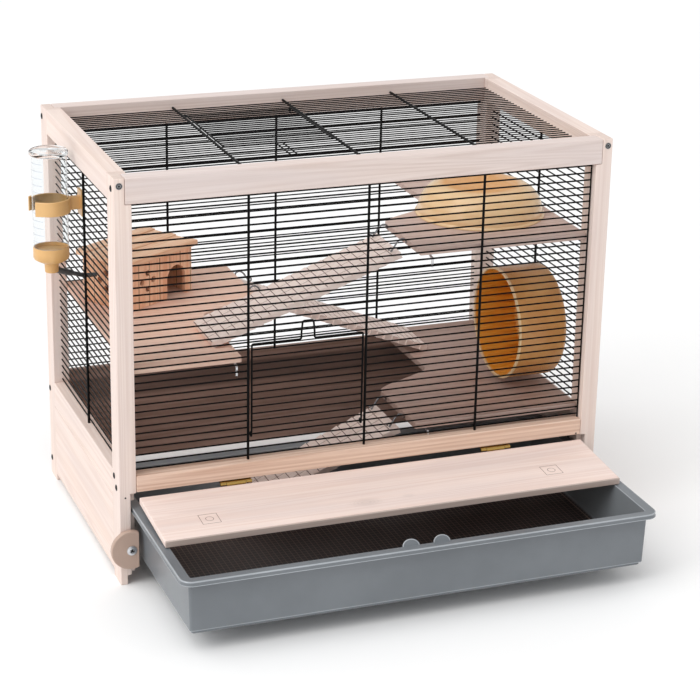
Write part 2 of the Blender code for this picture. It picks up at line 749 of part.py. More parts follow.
def make_bottle():
    x = -half_width - bottle_x
    wall = 1.5
    outer = bottle_radius
    end = bottle_end_radius
    profile = [(0.0, bottle_high), (end, bottle_high), (end, bottle_high - 5.0), (outer, bottle_high - 7.0),
               (outer, bottle_low), (outer - wall, bottle_low), (outer - wall, bottle_high - wall - 1.0),
               (0.0, bottle_high - wall - 1.0)]
    bm = turned_mesh(profile, (x, bottle_y, 0.0), "Z", 32)
    add_object("bottle", bm, "clear_plastic", root, smooth=True)
    cap_top = bottle_low - gap
    profile = [(0.0, cap_top), (outer, cap_top), (outer, cap_low + 12.0), (outer - 3.0, cap_low + 9.0),
               (10.0, cap_low + 6.0), (8.0, cap_low), (0.0, cap_low)]
    bm = turned_mesh(profile, (x, bottle_y, 0.0), "Z", 32)
    add_object("bottle_cap", bm, "beige_plastic", root, smooth=True)

    # the spout leaves level, midway between two bars of the left grille
    gap_above = min(z for z in front_bars if z > cap_low - 8.0)
    level = gap_above - pitch / 2
    tip = -half_width + wire_inset + wire + spout_inside
    points = [(x, bottle_y, cap_low - gap), (x, bottle_y, level + 4.0), (x + 1.2, bottle_y, level + 1.2),
              (x + 4.0, bottle_y, level), (tip, bottle_y, level)]
    make_tube("bottle_spout", points, spout_radius, "zinc")

    # an open ring around the bottle, with a foot that reaches the wire
    inside_radius = outer + gap
    outside_radius = inside_radius + ring_wall
    foot = bottle_x + wire_inset - gap
    half_foot = ring_foot_wide / 2
    foot_angle = math.degrees(math.asin(half_foot / outside_radius))
    outline = [(x + foot, bottle_y - half_foot), (x + foot, bottle_y + half_foot)]
    outline += arc((x, bottle_y), outside_radius, foot_angle, ring_back_end, 10)
    outline += arc((x, bottle_y), inside_radius, ring_back_end, ring_front_end, 24)
    outline += arc((x, bottle_y), outside_radius, ring_front_end, -foot_angle, 10)
    add_object("bottle_clip", extruded_mesh(outline, ring_low, ring_high), "beige_plastic", root)


clear_scene()
made_materials = make_materials()
right_reach = half_width - button_inset + button_radius
left_reach = half_width + bottle_x + bottle_end_radius
middle_x = (right_reach - left_reach) / 2
middle_y = (cage_depth - tray_out) / 2
root = add_empty("cage", (-middle_x, -middle_y, 0.0))
make_posts()
make_rails()
make_grilles()
make_front_door()
make_roof_door()
make_tray()
make_flap()
make_turn_buttons()
make_shelves()
make_ramps()
make_wheel()
make_house()
make_dome()
make_bottle()
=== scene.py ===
import json
import math
import bmesh
import bpy
from mathutils import Matrix, Vector

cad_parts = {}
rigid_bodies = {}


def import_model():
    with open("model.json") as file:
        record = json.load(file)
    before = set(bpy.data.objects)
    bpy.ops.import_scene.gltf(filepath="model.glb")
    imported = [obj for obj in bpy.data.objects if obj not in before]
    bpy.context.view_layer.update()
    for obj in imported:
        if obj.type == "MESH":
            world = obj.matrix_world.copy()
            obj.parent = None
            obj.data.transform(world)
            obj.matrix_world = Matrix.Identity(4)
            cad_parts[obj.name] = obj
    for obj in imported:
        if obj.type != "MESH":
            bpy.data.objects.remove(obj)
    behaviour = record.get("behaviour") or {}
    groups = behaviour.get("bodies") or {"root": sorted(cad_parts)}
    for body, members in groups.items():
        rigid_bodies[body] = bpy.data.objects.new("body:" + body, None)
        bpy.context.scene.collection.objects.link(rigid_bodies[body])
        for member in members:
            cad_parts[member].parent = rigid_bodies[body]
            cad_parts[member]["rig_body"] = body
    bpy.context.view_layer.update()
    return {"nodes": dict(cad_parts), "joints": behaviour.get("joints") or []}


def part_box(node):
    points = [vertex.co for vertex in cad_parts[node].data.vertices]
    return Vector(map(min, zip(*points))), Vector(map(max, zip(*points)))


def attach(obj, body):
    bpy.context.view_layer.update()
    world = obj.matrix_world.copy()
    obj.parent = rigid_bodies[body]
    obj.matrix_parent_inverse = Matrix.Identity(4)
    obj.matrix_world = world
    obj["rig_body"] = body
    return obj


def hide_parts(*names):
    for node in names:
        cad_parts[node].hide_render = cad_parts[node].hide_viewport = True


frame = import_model()
mm = 0.001


# the places that the pieces are worked out from
cageLow = Vector((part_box("post_front_left")[0].x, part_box("post_front_left")[0].y, 0.0))
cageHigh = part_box("post_back_right")[1]
cageMiddle = (cageLow + cageHigh) / 2
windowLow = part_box("lower_rail_front")[1].z
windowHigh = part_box("top_rail_front")[0].z


def jointPlace(name):
    return Vector(next(j["pos_m"] for j in frame["joints"] if j["name"] == name))


def bodyOf(node):
    return frame["nodes"][node]["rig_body"]


# camera: angles in degrees, offsets and distance in millimetres from the middle of the cage
studio = {
    "azimuth": -20.99, "elevation": 20.39, "roll": -1.155,
    "across": -43.42, "rise": -182.1, "away": 2763.2, "focal": 2180.8,
    "side": 36.0, "frameSide": 700.0,
}


class Field:
    # a shader socket that adds, subtracts, multiplies and divides like a number
    def __init__(self, finish, socket):
        self.finish = finish
        self.socket = socket

    def maths(self, operation, first, second):
        return self.finish.add("ShaderNodeMath", {"operation": operation}, {0: first, 1: second})

    def __add__(self, other):
        return self.maths("ADD", self, other)

    def __radd__(self, other):
        return self.maths("ADD", other, self)

    def __sub__(self, other):
        return self.maths("SUBTRACT", self, other)

    def __rsub__(self, other):
        return self.maths("SUBTRACT", other, self)

    def __mul__(self, other):
        return self.maths("MULTIPLY", self, other)

    def __rmul__(self, other):
        return self.maths("MULTIPLY", other, self)

    def __truediv__(self, other):
        return self.maths("DIVIDE", self, other)

    def __rtruediv__(self, other):
        return self.maths("DIVIDE", other, self)

    def __pow__(self, other):
        return self.maths("POWER", self, other)

    def above(self, other):
        return self.maths("GREATER_THAN", self, other)

    def below(self, other):
        return self.maths("LESS_THAN", self, other)

    def greatest(self, other):
        return self.maths("MAXIMUM", self, other)

    def size(self):
        return self.maths("ABSOLUTE", self, 0.0)

    def wrapped(self, period):
        return self.maths("PINGPONG", self, period)


class Finish:
    # one node material around a Principled shader
    def __init__(self, name):
        self.material = bpy.data.materials.new(name)
        self.material.use_nodes = True
        self.tree = self.material.node_tree
        self.shader = self.tree.nodes["Principled BSDF"]

    def put(self, socket, value):
        if isinstance(value, Field):
            self.tree.links.new(value.socket, socket)
        elif isinstance(value, (tuple, list)) and socket.type == "RGBA" and len(value) == 3:
            socket.default_value = (*value, 1.0)
        else:
            socket.default_value = value

    def add(self, kind, settings=None, inputs=None, output=0):
        node = self.tree.nodes.new(kind)
        for key, value in (settings or {}).items():
            setattr(node, key, value)
        for key, value in (inputs or {}).items():
            self.put(node.inputs[key], value)
        return Field(self, node.outputs[output])

    def places(self, centre=(0.0, 0.0, 0.0), turn=(0.0, 0.0, 0.0)):
        place = self.add("ShaderNodeTexCoord", output="Object")
        moved = self.add("ShaderNodeVectorMath", {"operation": "SUBTRACT"}, {0: place, 1: tuple(centre)})
        return self.add("ShaderNodeMapping", {}, {"Vector": moved, "Rotation": turn})

    def parts(self, vector):
        node = self.tree.nodes.new("ShaderNodeSeparateXYZ")
        self.put(node.inputs[0], vector)
        return [Field(self, output) for output in node.outputs]

    def noise(self, vector, scale, detail=4.0, roughness=0.55, distortion=0.0):
        return self.add("ShaderNodeTexNoise", {}, {"Vector": vector, "Scale": scale, "Detail": detail,
                                                   "Roughness": roughness, "Distortion": distortion})

    def fit(self, value, low, high):
        return self.add("ShaderNodeMapRange", {"clamp": True, "interpolation_type": "SMOOTHSTEP"},
                        {"Value": value, "From Min": low, "From Max": high})

    def mix(self, factor, first, second):
        return self.add("ShaderNodeMix", {"data_type": "RGBA"}, {0: factor, 6: first, 7: second}, output=2)

    def bump(self, height, strength=0.3, distance=0.0004):
        normal = self.add("ShaderNodeBump", {},
                          {"Height": height, "Strength": strength, "Distance": distance})
        self.put(self.shader.inputs["Normal"], normal)

    def set(self, **values):
        for name, value in values.items():
            self.put(self.shader.inputs[name.replace("_", " ")], value)
        return self.material


def linear(red, green, blue):
    # a paint colour as seen, 0 to 255, to the shader's linear scale
    def one(value):
        value = value / 255.0
        return value / 12.92 if value <= 0.04045 else ((value + 0.055) / 1.055) ** 2.4
    return (one(red), one(green), one(blue))


woodGrain = {
    "bandAcross": 26.0,          # broad growth bands per metre over the grain
    "bandAlong": 0.7,
    "bandLines": 15.0,           # lines in one band
    "fineAcross": 640.0,
    "fineAlong": 9.0,
    "cloudAcross": 26.0,
    "cloudAlong": 4.0,
    "bumpHeight": 0.00012,
}


def alongGrain(along, across, lengthwise):
    scale = [across] * 3
    scale[along] = lengthwise
    return tuple(scale)


def woodFinish(name, light, dark, along, seed, wash=0.3, depth=1.0, knots=(), marks=(), planks=None,
               turn=0.0, endGrain=True, band=None, shaded=None):
    finish = Finish(name)
    g = woodGrain
    place = finish.places(turn=(0.0, 0.0, math.radians(-turn)))
    shifted = finish.add("ShaderNodeVectorMath", {"operation": "ADD"},
                         {0: place, 1: (seed * 0.37, seed * 0.21, seed * 0.13)})

    def stretched(across, lengthwise):
        return finish.add("ShaderNodeMapping", {}, {"Vector": shifted,
                                                    "Scale": alongGrain(along, across, lengthwise)})

    fine = finish.noise(stretched(g["fineAcross"], g["fineAlong"]), 1.0, 3.0, 0.6)
    growth = finish.noise(stretched(g["bandAcross"], g["bandAlong"]), 1.0, 1.5, 0.5, 0.3)
    cloud = finish.noise(stretched(g["cloudAcross"], g["cloudAlong"]), 1.0, 3.0)
    lines = finish.fit((growth * g["bandLines"]).wrapped(0.5), 0.1, 0.45)
    tone = (lines * 0.45 + finish.fit(fine, 0.3, 0.7) * 0.4 + finish.fit(cloud, 0.35, 0.65) * 0.3) * depth
    colour = finish.mix(tone, light, dark)
    for spot, radius, strength in knots:
        away = finish.add("ShaderNodeVectorMath", {"operation": "SUBTRACT"}, {0: place, 1: tuple(spot)})
        flat = finish.add("ShaderNodeVectorMath", {"operation": "MULTIPLY"},
                          {0: away, 1: alongGrain(along, 1.0, 0.5)})
        far = finish.add("ShaderNodeVectorMath", {"operation": "LENGTH"}, {0: flat}, output="Value")
        rough = far + (fine - 0.5) * (radius * 0.6)
        heart = 1.0 - finish.fit(rough, radius * 0.2, radius)
        rings = finish.fit((far * (6.0 / radius)).wrapped(0.5), 0.1, 0.45)
        colour = finish.mix(heart * (0.6 + rings * 0.4) * strength, colour, tuple(c * 0.55 for c in dark))
    if wash:
        colour = finish.mix(finish.fit(cloud, 0.3, 0.7) * wash, colour, linear(228, 219, 219))
    height = tone
    # band paints shade: a darker stretch between two levels along one axis
    if band:
        axis, low, high, strength = band
        level = finish.parts(place)[axis]
        inside = finish.fit(level, low, low + (high - low) * 0.3)
        inside = inside * (1.0 - finish.fit(level, high - 4.0 * mm, high))
        colour = finish.mix(inside * strength * (0.6 + cloud * 0.8), colour, tuple(c * 0.4 for c in dark))
    for x, y, half in marks:
        # a plain burned square with a ring in it
        across, deep, _ = finish.parts(place)
        dx = across - x
        dy = deep - y
        edge = dx.size().greatest(dy.size())
        far = (dx * dx + dy * dy) ** 0.5
        line = half * 0.07
        square = edge.above(half - line) * edge.below(half)
        ring = far.above(half * 0.45 - line) * far.below(half * 0.45)
        colour = finish.mix((square + ring) * 0.8, colour, linear(128, 92, 80))
    # shaded paints shade: darker below a level along one axis
    if shaded:
        axis, level, tint = shaded
        colour = finish.mix(finish.parts(place)[axis].below(level) * 0.6, colour, tint)
    if planks:
        axis, period, offset = planks
        across = finish.parts(place)[axis] - offset
        seam = finish.fit((across / period).wrapped(0.5), 0.0, 0.05)
        colour = finish.mix(seam, tuple(c * 0.22 for c in dark), colour)
        height = tone * 0.4 + seam * 3.0
    if endGrain:
        normal = finish.add("ShaderNodeNewGeometry", output="Normal")
        facing = finish.parts(normal)[along].size()
        colour = finish.mix(finish.fit(facing, 0.8, 0.98) * 0.3, colour, tuple(c * 0.75 for c in dark))
    finish.bump(height, 0.3, g["bumpHeight"])
    return finish.set(Base_Color=colour, Roughness=0.55 + tone * 0.1)


def plasticFinish(name, colour, roughness=0.35, grain=0.15, speck=900.0, deeper=None):
    finish = Finish(name)
    place = finish.places()
    cloud = finish.noise(place, 14.0, 3.0)
    skin = finish.noise(place, speck, 2.0)
    shade = deeper or tuple(c * 0.82 for c in colour)
    finish.bump(skin, grain, 0.0001)
    return finish.set(Base_Color=finish.mix(finish.fit(cloud, 0.3, 0.7), colour, shade),
                      Roughness=roughness + (skin - 0.5) * 0.12)


def metalFinish(name, colour, roughness, metallic=1.0, speck=1400.0):
    finish = Finish(name)
    place = finish.places()
    skin = finish.noise(place, speck, 3.0)
    cloud = finish.noise(place, 60.0, 3.0)
    finish.bump(skin, 0.12, 0.00008)
    return finish.set(Base_Color=finish.mix(cloud, colour, tuple(c * 0.75 for c in colour)),
                      Roughness=roughness + (skin - 0.5) * 0.15, Metallic=metallic)


def newObject(name, mesh):
    obj = bpy.data.objects.new(name, mesh)
    bpy.context.scene.collection.objects.link(obj)
    return obj


def fromBmesh(name, bm, smoothAngle=None):
    mesh = bpy.data.meshes.new(name)
    bm.to_mesh(mesh)
    bm.free()
    if smoothAngle:
        mesh.shade_smooth()
        mesh.set_sharp_from_angle(angle=math.radians(smoothAngle))
    return newObject(name, mesh)


def place(obj, body, slot, materials, nodes=()):
    for material in materials if isinstance(materials, (list, tuple)) else [materials]:
        obj.data.materials.append(material)
    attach(obj, body)
    if nodes:
        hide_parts(*nodes)
    return obj


def bevelled(obj, width, segments=2, angle=35.0):
    modifier = obj.modifiers.new("roundedEdges", "BEVEL")
    modifier.width = width
    modifier.segments = segments
    modifier.limit_method = "ANGLE"
    modifier.angle_limit = math.radians(angle)
    modifier.harden_normals = True
    obj.data.shade_smooth()
    obj.data.set_sharp_from_angle(angle=math.radians(angle))
    return obj


def softened(node, width, material, slot, segments=2):
    # the CAD piece again, with its loose triangles merged and its edges rounded
    bm = bmesh.new()
    bm.from_mesh(frame["nodes"][node].data)
    bmesh.ops.remove_doubles(bm, verts=bm.verts, dist=0.00001)
    bmesh.ops.dissolve_limit(bm, angle_limit=math.radians(1.0), verts=bm.verts, edges=bm.edges)
    obj = bevelled(fromBmesh(f"{node}_finished", bm), width, segments)
    return place(obj, bodyOf(node), slot, material, [node])


def tubeMesh(bm, points, radius, sides=10, closed=False):
    # sweeps a round wire along points, turning its section as little as it can
    points = [Vector(p) for p in points]
    count = len(points)
    side = None
    rings = []
    for n, point in enumerate(points):
        before = points[n - 1] if n or closed else point
        after = points[(n + 1) % count] if n < count - 1 or closed else point
        ahead = (after - before).normalized()
        if side is None:
            side = ahead.orthogonal().normalized()
        side = (side - ahead * side.dot(ahead)).normalized()
        other = ahead.cross(side)
        ring = []
        for k in range(sides):
            angle = 2 * math.pi * k / sides
            ring.append(bm.verts.new(point + (side * math.cos(angle) + other * math.sin(angle)) * radius))
        rings.append(ring)
    pairs = list(zip(rings, rings[1:]))
    if closed:
        pairs.append((rings[-1], rings[0]))
    else:
        bm.faces.new(rings[0][::-1])
        bm.faces.new(rings[-1])
    for lower, upper in pairs:
        for k in range(sides):
            m = (k + 1) % sides
            bm.faces.new((lower[k], lower[m], upper[m], upper[k]))


def smoothPath(points, steps=6):
    # a Catmull-Rom curve through the points
    points = [Vector(p) for p in points]
    padded = [points[0] * 2 - points[1]] + points + [points[-1] * 2 - points[-2]]
    path = []
    for n in range(1, len(padded) - 2):
        a, b, c, d = padded[n - 1:n + 3]
        for k in range(steps):
            t = k / steps
            path.append(0.5 * ((2 * b) + (c - a) * t + (2 * a - 5 * b + 4 * c - d) * t * t
                               + (3 * b - a - 3 * c + d) * t * t * t))
    return path + [points[-1]]


def arcPoints(centre, radius, start, end, steps, first, second):
    # points on an arc in the plane of two unit vectors
    points = []
    for n in range(steps + 1):
        angle = math.radians(start + (end - start) * n / steps)
        away = first * (radius * math.cos(angle)) + second * (radius * math.sin(angle))
        points.append(Vector(centre) + away)
    return points


def wireObject(name, paths, radius, sides=10):
    bm = bmesh.new()
    for path in paths:
        tubeMesh(bm, path, radius, sides)
    bmesh.ops.recalc_face_normals(bm, faces=bm.faces)
    return fromBmesh(name, bm, 40.0)


def revolve(name, profile, centre, axis, segments=96, bands=None):
    # profile is a closed loop of (radius, along); bands gives the material of each stretch
    bm = bmesh.new()
    turns = {
        "X": Matrix.Rotation(math.radians(90.0), 4, "Y"),
        "Y": Matrix.Rotation(math.radians(-90.0), 4, "X"),
        "Z": Matrix.Identity(4),
    }
    rings = []
    for radius, height in profile:
        if radius < 1e-7:
            rings.append([bm.verts.new((0.0, 0.0, height))])
            continue
        rings.append([bm.verts.new((radius * math.cos(2 * math.pi * n / segments),
                                    radius * math.sin(2 * math.pi * n / segments), height))
                      for n in range(segments)])
    pairs = list(zip(rings, rings[1:]))
    if len(rings[0]) > 1 or len(rings[-1]) > 1:
        pairs.append((rings[-1], rings[0]))
    for index, (lower, upper) in enumerate(pairs):
        for n in range(segments):
            m = (n + 1) % segments
            if len(lower) == 1 and len(upper) == 1:
                continue
            if len(lower) == 1:
                face = bm.faces.new((lower[0], upper[m], upper[n]))
            elif len(upper) == 1:
                face = bm.faces.new((lower[n], lower[m], upper[0]))
            else:
                face = bm.faces.new((lower[n], lower[m], upper[m], upper[n]))
            face.material_index = bands[index] if bands else 0
    bmesh.ops.recalc_face_normals(bm, faces=bm.faces)
    bm.transform(Matrix.Translation(Vector(centre)) @ turns[axis])
    bmesh.ops.recalc_face_normals(bm, faces=bm.faces)
    return fromBmesh(name, bm, 32.0)


def joined(name, meshes, smoothAngle=None):
    bm = bmesh.new()
    for mesh in meshes:
        bm.from_mesh(mesh)
    return fromBmesh(name, bm, smoothAngle)


def gathered(name, pieces):
    # several small turned pieces as one object
    obj = joined(name, [piece.data for piece in pieces], 40.0)
    for piece in pieces:
        bpy.data.objects.remove(piece)
    return obj


class NodeTree:
    # one geometry tree with named inputs
    def __init__(self, name, inputs):
        self.tree = bpy.data.node_groups.new(name, "GeometryNodeTree")
        self.sockets = {}
        for label, kind, default in inputs:
            socket = self.tree.interface.new_socket(label, in_out="INPUT", socket_type=f"NodeSocket{kind}")
            if default is not None:
                socket.default_value = default
            self.sockets[label] = socket.identifier
        self.tree.interface.new_socket("Geometry", in_out="OUTPUT", socket_type="NodeSocketGeometry")
        self.inputs = self.tree.nodes.new("NodeGroupInput")
        self.result = self.tree.nodes.new("NodeGroupOutput")

    def add(self, kind, settings=None, inputs=None):
        node = self.tree.nodes.new(kind)
        for key, value in (settings or {}).items():
            setattr(node, key, value)
        for key, value in (inputs or {}).items():
            if isinstance(value, bpy.types.NodeSocket):
                self.tree.links.new(value, node.inputs[key])
            else:
                node.inputs[key].default_value = value
        return node

    def end(self, geometry):
        real = self.add("GeometryNodeRealizeInstances", {}, {"Geometry": geometry})
        smooth = self.add("GeometryNodeSetShadeSmooth", {}, {"Geometry": real.outputs[0]})
        paint = self.add("GeometryNodeSetMaterial", {}, {"Geometry": smooth.outputs[0],
                                                         "Material": self.inputs.outputs["Material"]})
        self.tree.links.new(paint.outputs[0], self.result.inputs[0])
        return self

    def mesh(self, name, **values):
        # runs the tree once and gives back its plain mesh
        carrier = newObject(f"{name}_carrier", bpy.data.meshes.new(f"{name}_carrier"))
        modifier = carrier.modifiers.new("nodes", "NODES")
        modifier.node_group = self.tree
        for label, value in values.items():
            modifier[self.sockets[label]] = value
        bpy.context.view_layer.update()
        evaluated = carrier.evaluated_get(bpy.context.evaluated_depsgraph_get())
        mesh = bpy.data.meshes.new_from_object(evaluated)
        mesh.name = name
        bpy.data.objects.remove(carrier)
        return mesh


def wireRowTree():
    # equal straight round wires, each one step from the last
    t = NodeTree("wireRow", [("Start", "Vector", None), ("End", "Vector", None), ("Step", "Vector", None),
                             ("Count", "Int", 1), ("Radius", "Float", 0.001), ("Material", "Material", None)])
    i = t.inputs.outputs
    line = t.add("GeometryNodeCurvePrimitiveLine", {}, {"Start": i["Start"], "End": i["End"]})
    circle = t.add("GeometryNodeCurvePrimitiveCircle", {}, {"Resolution": 8, "Radius": i["Radius"]})
    wire = t.add("GeometryNodeCurveToMesh", {},
                 {"Curve": line.outputs[0], "Profile Curve": circle.outputs[0], "Fill Caps": True})
    row = t.add("GeometryNodeMeshLine", {"mode": "OFFSET"}, {"Count": i["Count"], "Offset": i["Step"]})
    copies = t.add("GeometryNodeInstanceOnPoints", {},
                   {"Points": row.outputs[0], "Instance": wire.outputs[0]})
    return t.end(copies.outputs[0])


def ringTree():
    # small blocks round an axis along X, such as the treads inside a wheel
    t = NodeTree("blockRing", [("Centre", "Vector", None), ("Radius", "Float", 0.06), ("Count", "Int", 36),
                               ("Size", "Vector", None), ("Material", "Material", None)])
    i = t.inputs.outputs
    circle = t.add("GeometryNodeMeshCircle", {}, {"Vertices": i["Count"], "Radius": i["Radius"]})
    block = t.add("GeometryNodeMeshCube", {}, {"Size": i["Size"]})
    normal = t.add("GeometryNodeInputPosition")
    turn = t.add("FunctionNodeAlignRotationToVector", {"axis": "Y"}, {"Vector": normal.outputs[0]})
    copies = t.add("GeometryNodeInstanceOnPoints", {},
                   {"Points": circle.outputs[0], "Instance": block.outputs[0], "Rotation": turn.outputs[0]})
    placed = t.add("GeometryNodeTransform", {}, {"Geometry": copies.outputs[0], "Translation": i["Centre"],
                                                 "Rotation": (0.0, math.radians(90.0), 0.0)})
    return t.end(placed.outputs[0])


wireRow = wireRowTree()
blockRing = ringTree()
print("tools ready")


# finishes that several pieces share
washLight, washDark = linear(241, 223, 213), linear(221, 197, 184)
greyLight, greyDark = linear(229, 213, 206), linear(208, 188, 179)
woodAcross = woodFinish("washedWoodAcross", greyLight, greyDark, 0, 1.0, wash=0.45, depth=0.9)
woodDeep = woodFinish("washedWoodDeep", washLight, washDark, 1, 2.0, depth=0.8)
woodUp = woodFinish("washedWoodUp", washLight, washDark, 2, 3.0, depth=0.8)
railWood = woodFinish("lowerRailWood", linear(238, 210, 190), linear(206, 168, 144), 0, 4.0, wash=0.1)
wireBlack = plasticFinish("blackWireCoat", linear(5, 5, 6), 0.42, 0.1)
wireBlack.node_tree.nodes["Principled BSDF"].inputs["Specular IOR Level"].default_value = 0.1
zincFinish = metalFinish("zincPlate", linear(150, 151, 154), 0.26)
# painted shade: a near-black finish for dark pieces set into holes, gaps and slots, standing in for the shade
# inside them
recessShade = plasticFinish("recessShade", linear(34, 31, 30), 0.7, 0.05)
pinFinish = metalFinish("pinPlate", linear(228, 229, 232), 0.3)
brassFinish = metalFinish("brassPlate", linear(200, 168, 96), 0.2)
boltBlack = metalFinish("blackBolt", linear(26, 26, 28), 0.4, 0.6)


frameWood = {
    "edge": 1.1 * mm,
    "across": ["top_rail_front", "top_rail_back"],
    "deep": ["top_rail_left", "top_rail_right", "lower_rail_left", "lower_rail_right",
             "side_panel_left", "side_panel_right", "tray_runner_left", "tray_runner_right"],
    "up": ["post_front_left", "post_front_right", "post_back_left", "post_back_right"],
}


def makeFrame():
    for way, wood in (("across", woodAcross), ("deep", woodDeep), ("up", woodUp)):
        for node in frameWood[way]:
            softened(node, frameWood["edge"], wood, "frame_wood")
    softened("lower_rail_front", frameWood["edge"], railWood, "frame_wood")
    # painted shade: the back panel is coloured darker than the frame wood, and a darker band across its upper
    # part stands in for the shade inside the cage
    low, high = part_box("back_panel")
    tall = high.z - low.z
    panelShadeBand = (2, low.z + tall * 0.62, low.z + tall * 0.9, 0.75)
    panelShadedWood = woodFinish("panelWoodPaintedShade", linear(182, 151, 138), linear(148, 119, 106), 0, 5.0, wash=0.0,
                           band=panelShadeBand)
    softened("back_panel", frameWood["edge"], panelShadedWood, "frame_wood")
    print("frame done")


boltPlaces = {
    "radius": 3.8 * mm,
    "proud": 1.0 * mm,
    "leftSide": ((11.6, 471.5), (21.7, 129.0), (12.7, 117.6), (338.0, 472.0), (338.0, 118.6), (338.0, 23.0)),
    "frontX": 6.2,
    "frontHigh": 476.5,
    "pilots": ((7.0, 109.0), (574.0, 116.0)),
    "pilotRadius": 1.1 * mm,
}


def makeBolts():
    # black domed bolts in the side faces and small recessed screws in the front ones
    b = boltPlaces
    radius = b["radius"]
    proud = b["proud"]
    profile = [(0.0, -2.0 * mm), (radius * 0.9, -2.0 * mm), (radius, 0.1 * mm), (radius * 0.85, proud * 0.7),
               (radius * 0.55, proud), (radius * 0.45, proud), (radius * 0.4, -0.6 * mm), (0.0, -0.6 * mm)]
    heads = []
    for side, x in ((-1.0, cageLow.x), (1.0, cageHigh.x)):
        for y, z in b["leftSide"]:
            sunk = 0.0 if side < 0 else -1.2 * mm
            spot = (x + side * sunk, cageLow.y + y * mm, z * mm)
            points = [(r, side * h) for r, h in profile]
            heads.append(revolve("boltHead", points, spot, "X", 20))
    place(gathered("side_bolts", heads), "cage", "black_wire", boltBlack)
    cups = []
    recesses = []
    for x in (cageLow.x + b["frontX"] * mm, cageHigh.x - b["frontX"] * mm):
        points = [(0.0, 0.0), (3.8 * mm, 0.0), (3.8 * mm, -0.35 * mm), (2.9 * mm, -0.35 * mm),
                  (2.3 * mm, -0.1 * mm), (1.3 * mm, -0.1 * mm), (1.0 * mm, 0.3 * mm), (0.0, 0.3 * mm)]
        points = [(r, h - 0.05 * mm) for r, h in points]
        cups.append(revolve("screwHead", points, (x, cageLow.y, b["frontHigh"] * mm), "Y", 24))
        # the dark ring and dot pieces here, and the pilot holes below, are painted shade in the screw holes
        ring = [(2.3 * mm, -0.25 * mm), (3.1 * mm, -0.25 * mm), (3.1 * mm, 0.2 * mm), (2.3 * mm, 0.2 * mm)]
        dot = [(0.0, -0.2 * mm), (1.2 * mm, -0.2 * mm), (1.2 * mm, 0.2 * mm), (0.0, 0.2 * mm)]
        for loop in (ring, dot):
            recesses.append(revolve("recess", [(r, h - 0.3 * mm) for r, h in loop],
                                    (x, cageLow.y, b["frontHigh"] * mm), "Y", 24))
    r = b["pilotRadius"]
    for x, z in b["pilots"]:
        loop = [(0.0, -0.05 * mm), (r, -0.05 * mm), (r * 0.7, 0.6 * mm), (0.0, 0.6 * mm)]
        recesses.append(revolve("pilot", loop, (cageLow.x + x * mm, cageLow.y, z * mm), "Y", 12))
    place(gathered("front_recesses", recesses), "cage", "black_wire", recessShade)
    place(gathered("front_screws", cups), "cage", "zinc", zincFinish)
    print("bolts done")


wires = {
    "pitch": 8.7 * mm,
    "thin": {"front": 1.02 * mm, "back": 0.9 * mm, "left": 0.9 * mm, "right": 0.9 * mm, "roof": 0.78 * mm},
    "thick": 1.6 * mm,
    "intoWood": 1.5 * mm,
    "ribsFront": (-144.0, -0.5, 142.0),
    "ribsRoof": (-139.0, 4.0, 149.0),
    "doorFront": (3, 16),
    "doorRoof": (12, 30),
    "door": 0.95 * mm,
    "doorFrame": 1.15 * mm,
    "edgeIn": 1.0 * mm,
    "edgeRadius": 0.9 * mm,
}


def barPlaces(low, high):
    count = round((high - low) / wires["pitch"])
    first = (low + high - (count - 1) * wires["pitch"]) / 2
    return [first + n * wires["pitch"] for n in range(count)]


def rowMesh(name, starts, first, last, radius, step):
    # as many equal wires as starts says, the first from first to last and each one step on
    return wireRow.mesh(name, Start=tuple(first), End=tuple(last), Step=tuple(step), Count=starts,
                        Radius=radius, Material=wireBlack)


def grille(name, node, levels, axisAlong, axisStep, ribs, ribSide, opening=None, ribCoords=None, edges=()):
    low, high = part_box(node)
    w = wires
    middle = (low + high) / 2
    into = w["intoWood"]
    thin = w["thin"][name]
    step = Vector((0.0, 0.0, 0.0))
    step[axisStep] = w["pitch"]
    meshes = []

    def run(firstIndex, lastIndex, start, end):
        if lastIndex < firstIndex:
            return
        a = middle.copy()
        b = middle.copy()
        a[axisAlong] = start
        b[axisAlong] = end
        a[axisStep] = b[axisStep] = levels[firstIndex]
        meshes.append(rowMesh(name, lastIndex - firstIndex + 1, a, b, thin, step))

    ends = (low[axisAlong] - into, high[axisAlong] + into)
    if opening:
        bottom, top = opening
        run(0, bottom, *ends)
        run(top, len(levels) - 1, *ends)
        run(bottom + 1, top - 1, ends[0], ribCoords[0])
        run(bottom + 1, top - 1, ribCoords[1], ends[1])
    else:
        run(0, len(levels) - 1, *ends)
    normal = 3 - axisAlong - axisStep
    for rib, radius in [(rib, w["thick"]) for rib in ribs] + list(edges):
        a = middle.copy()
        b = middle.copy()
        a[axisAlong] = b[axisAlong] = rib
        a[axisStep] = low[axisStep] - into
        b[axisStep] = high[axisStep] + into
        a[normal] = b[normal] = middle[normal] + ribSide * (thin + radius) * 0.85
        meshes.append(rowMesh(name, 1, a, b, radius, step))
    obj = joined(f"{name}_wires", meshes)
    obj.data.materials.clear()
    place(obj, bodyOf(node), "black_wire", wireBlack, [node])


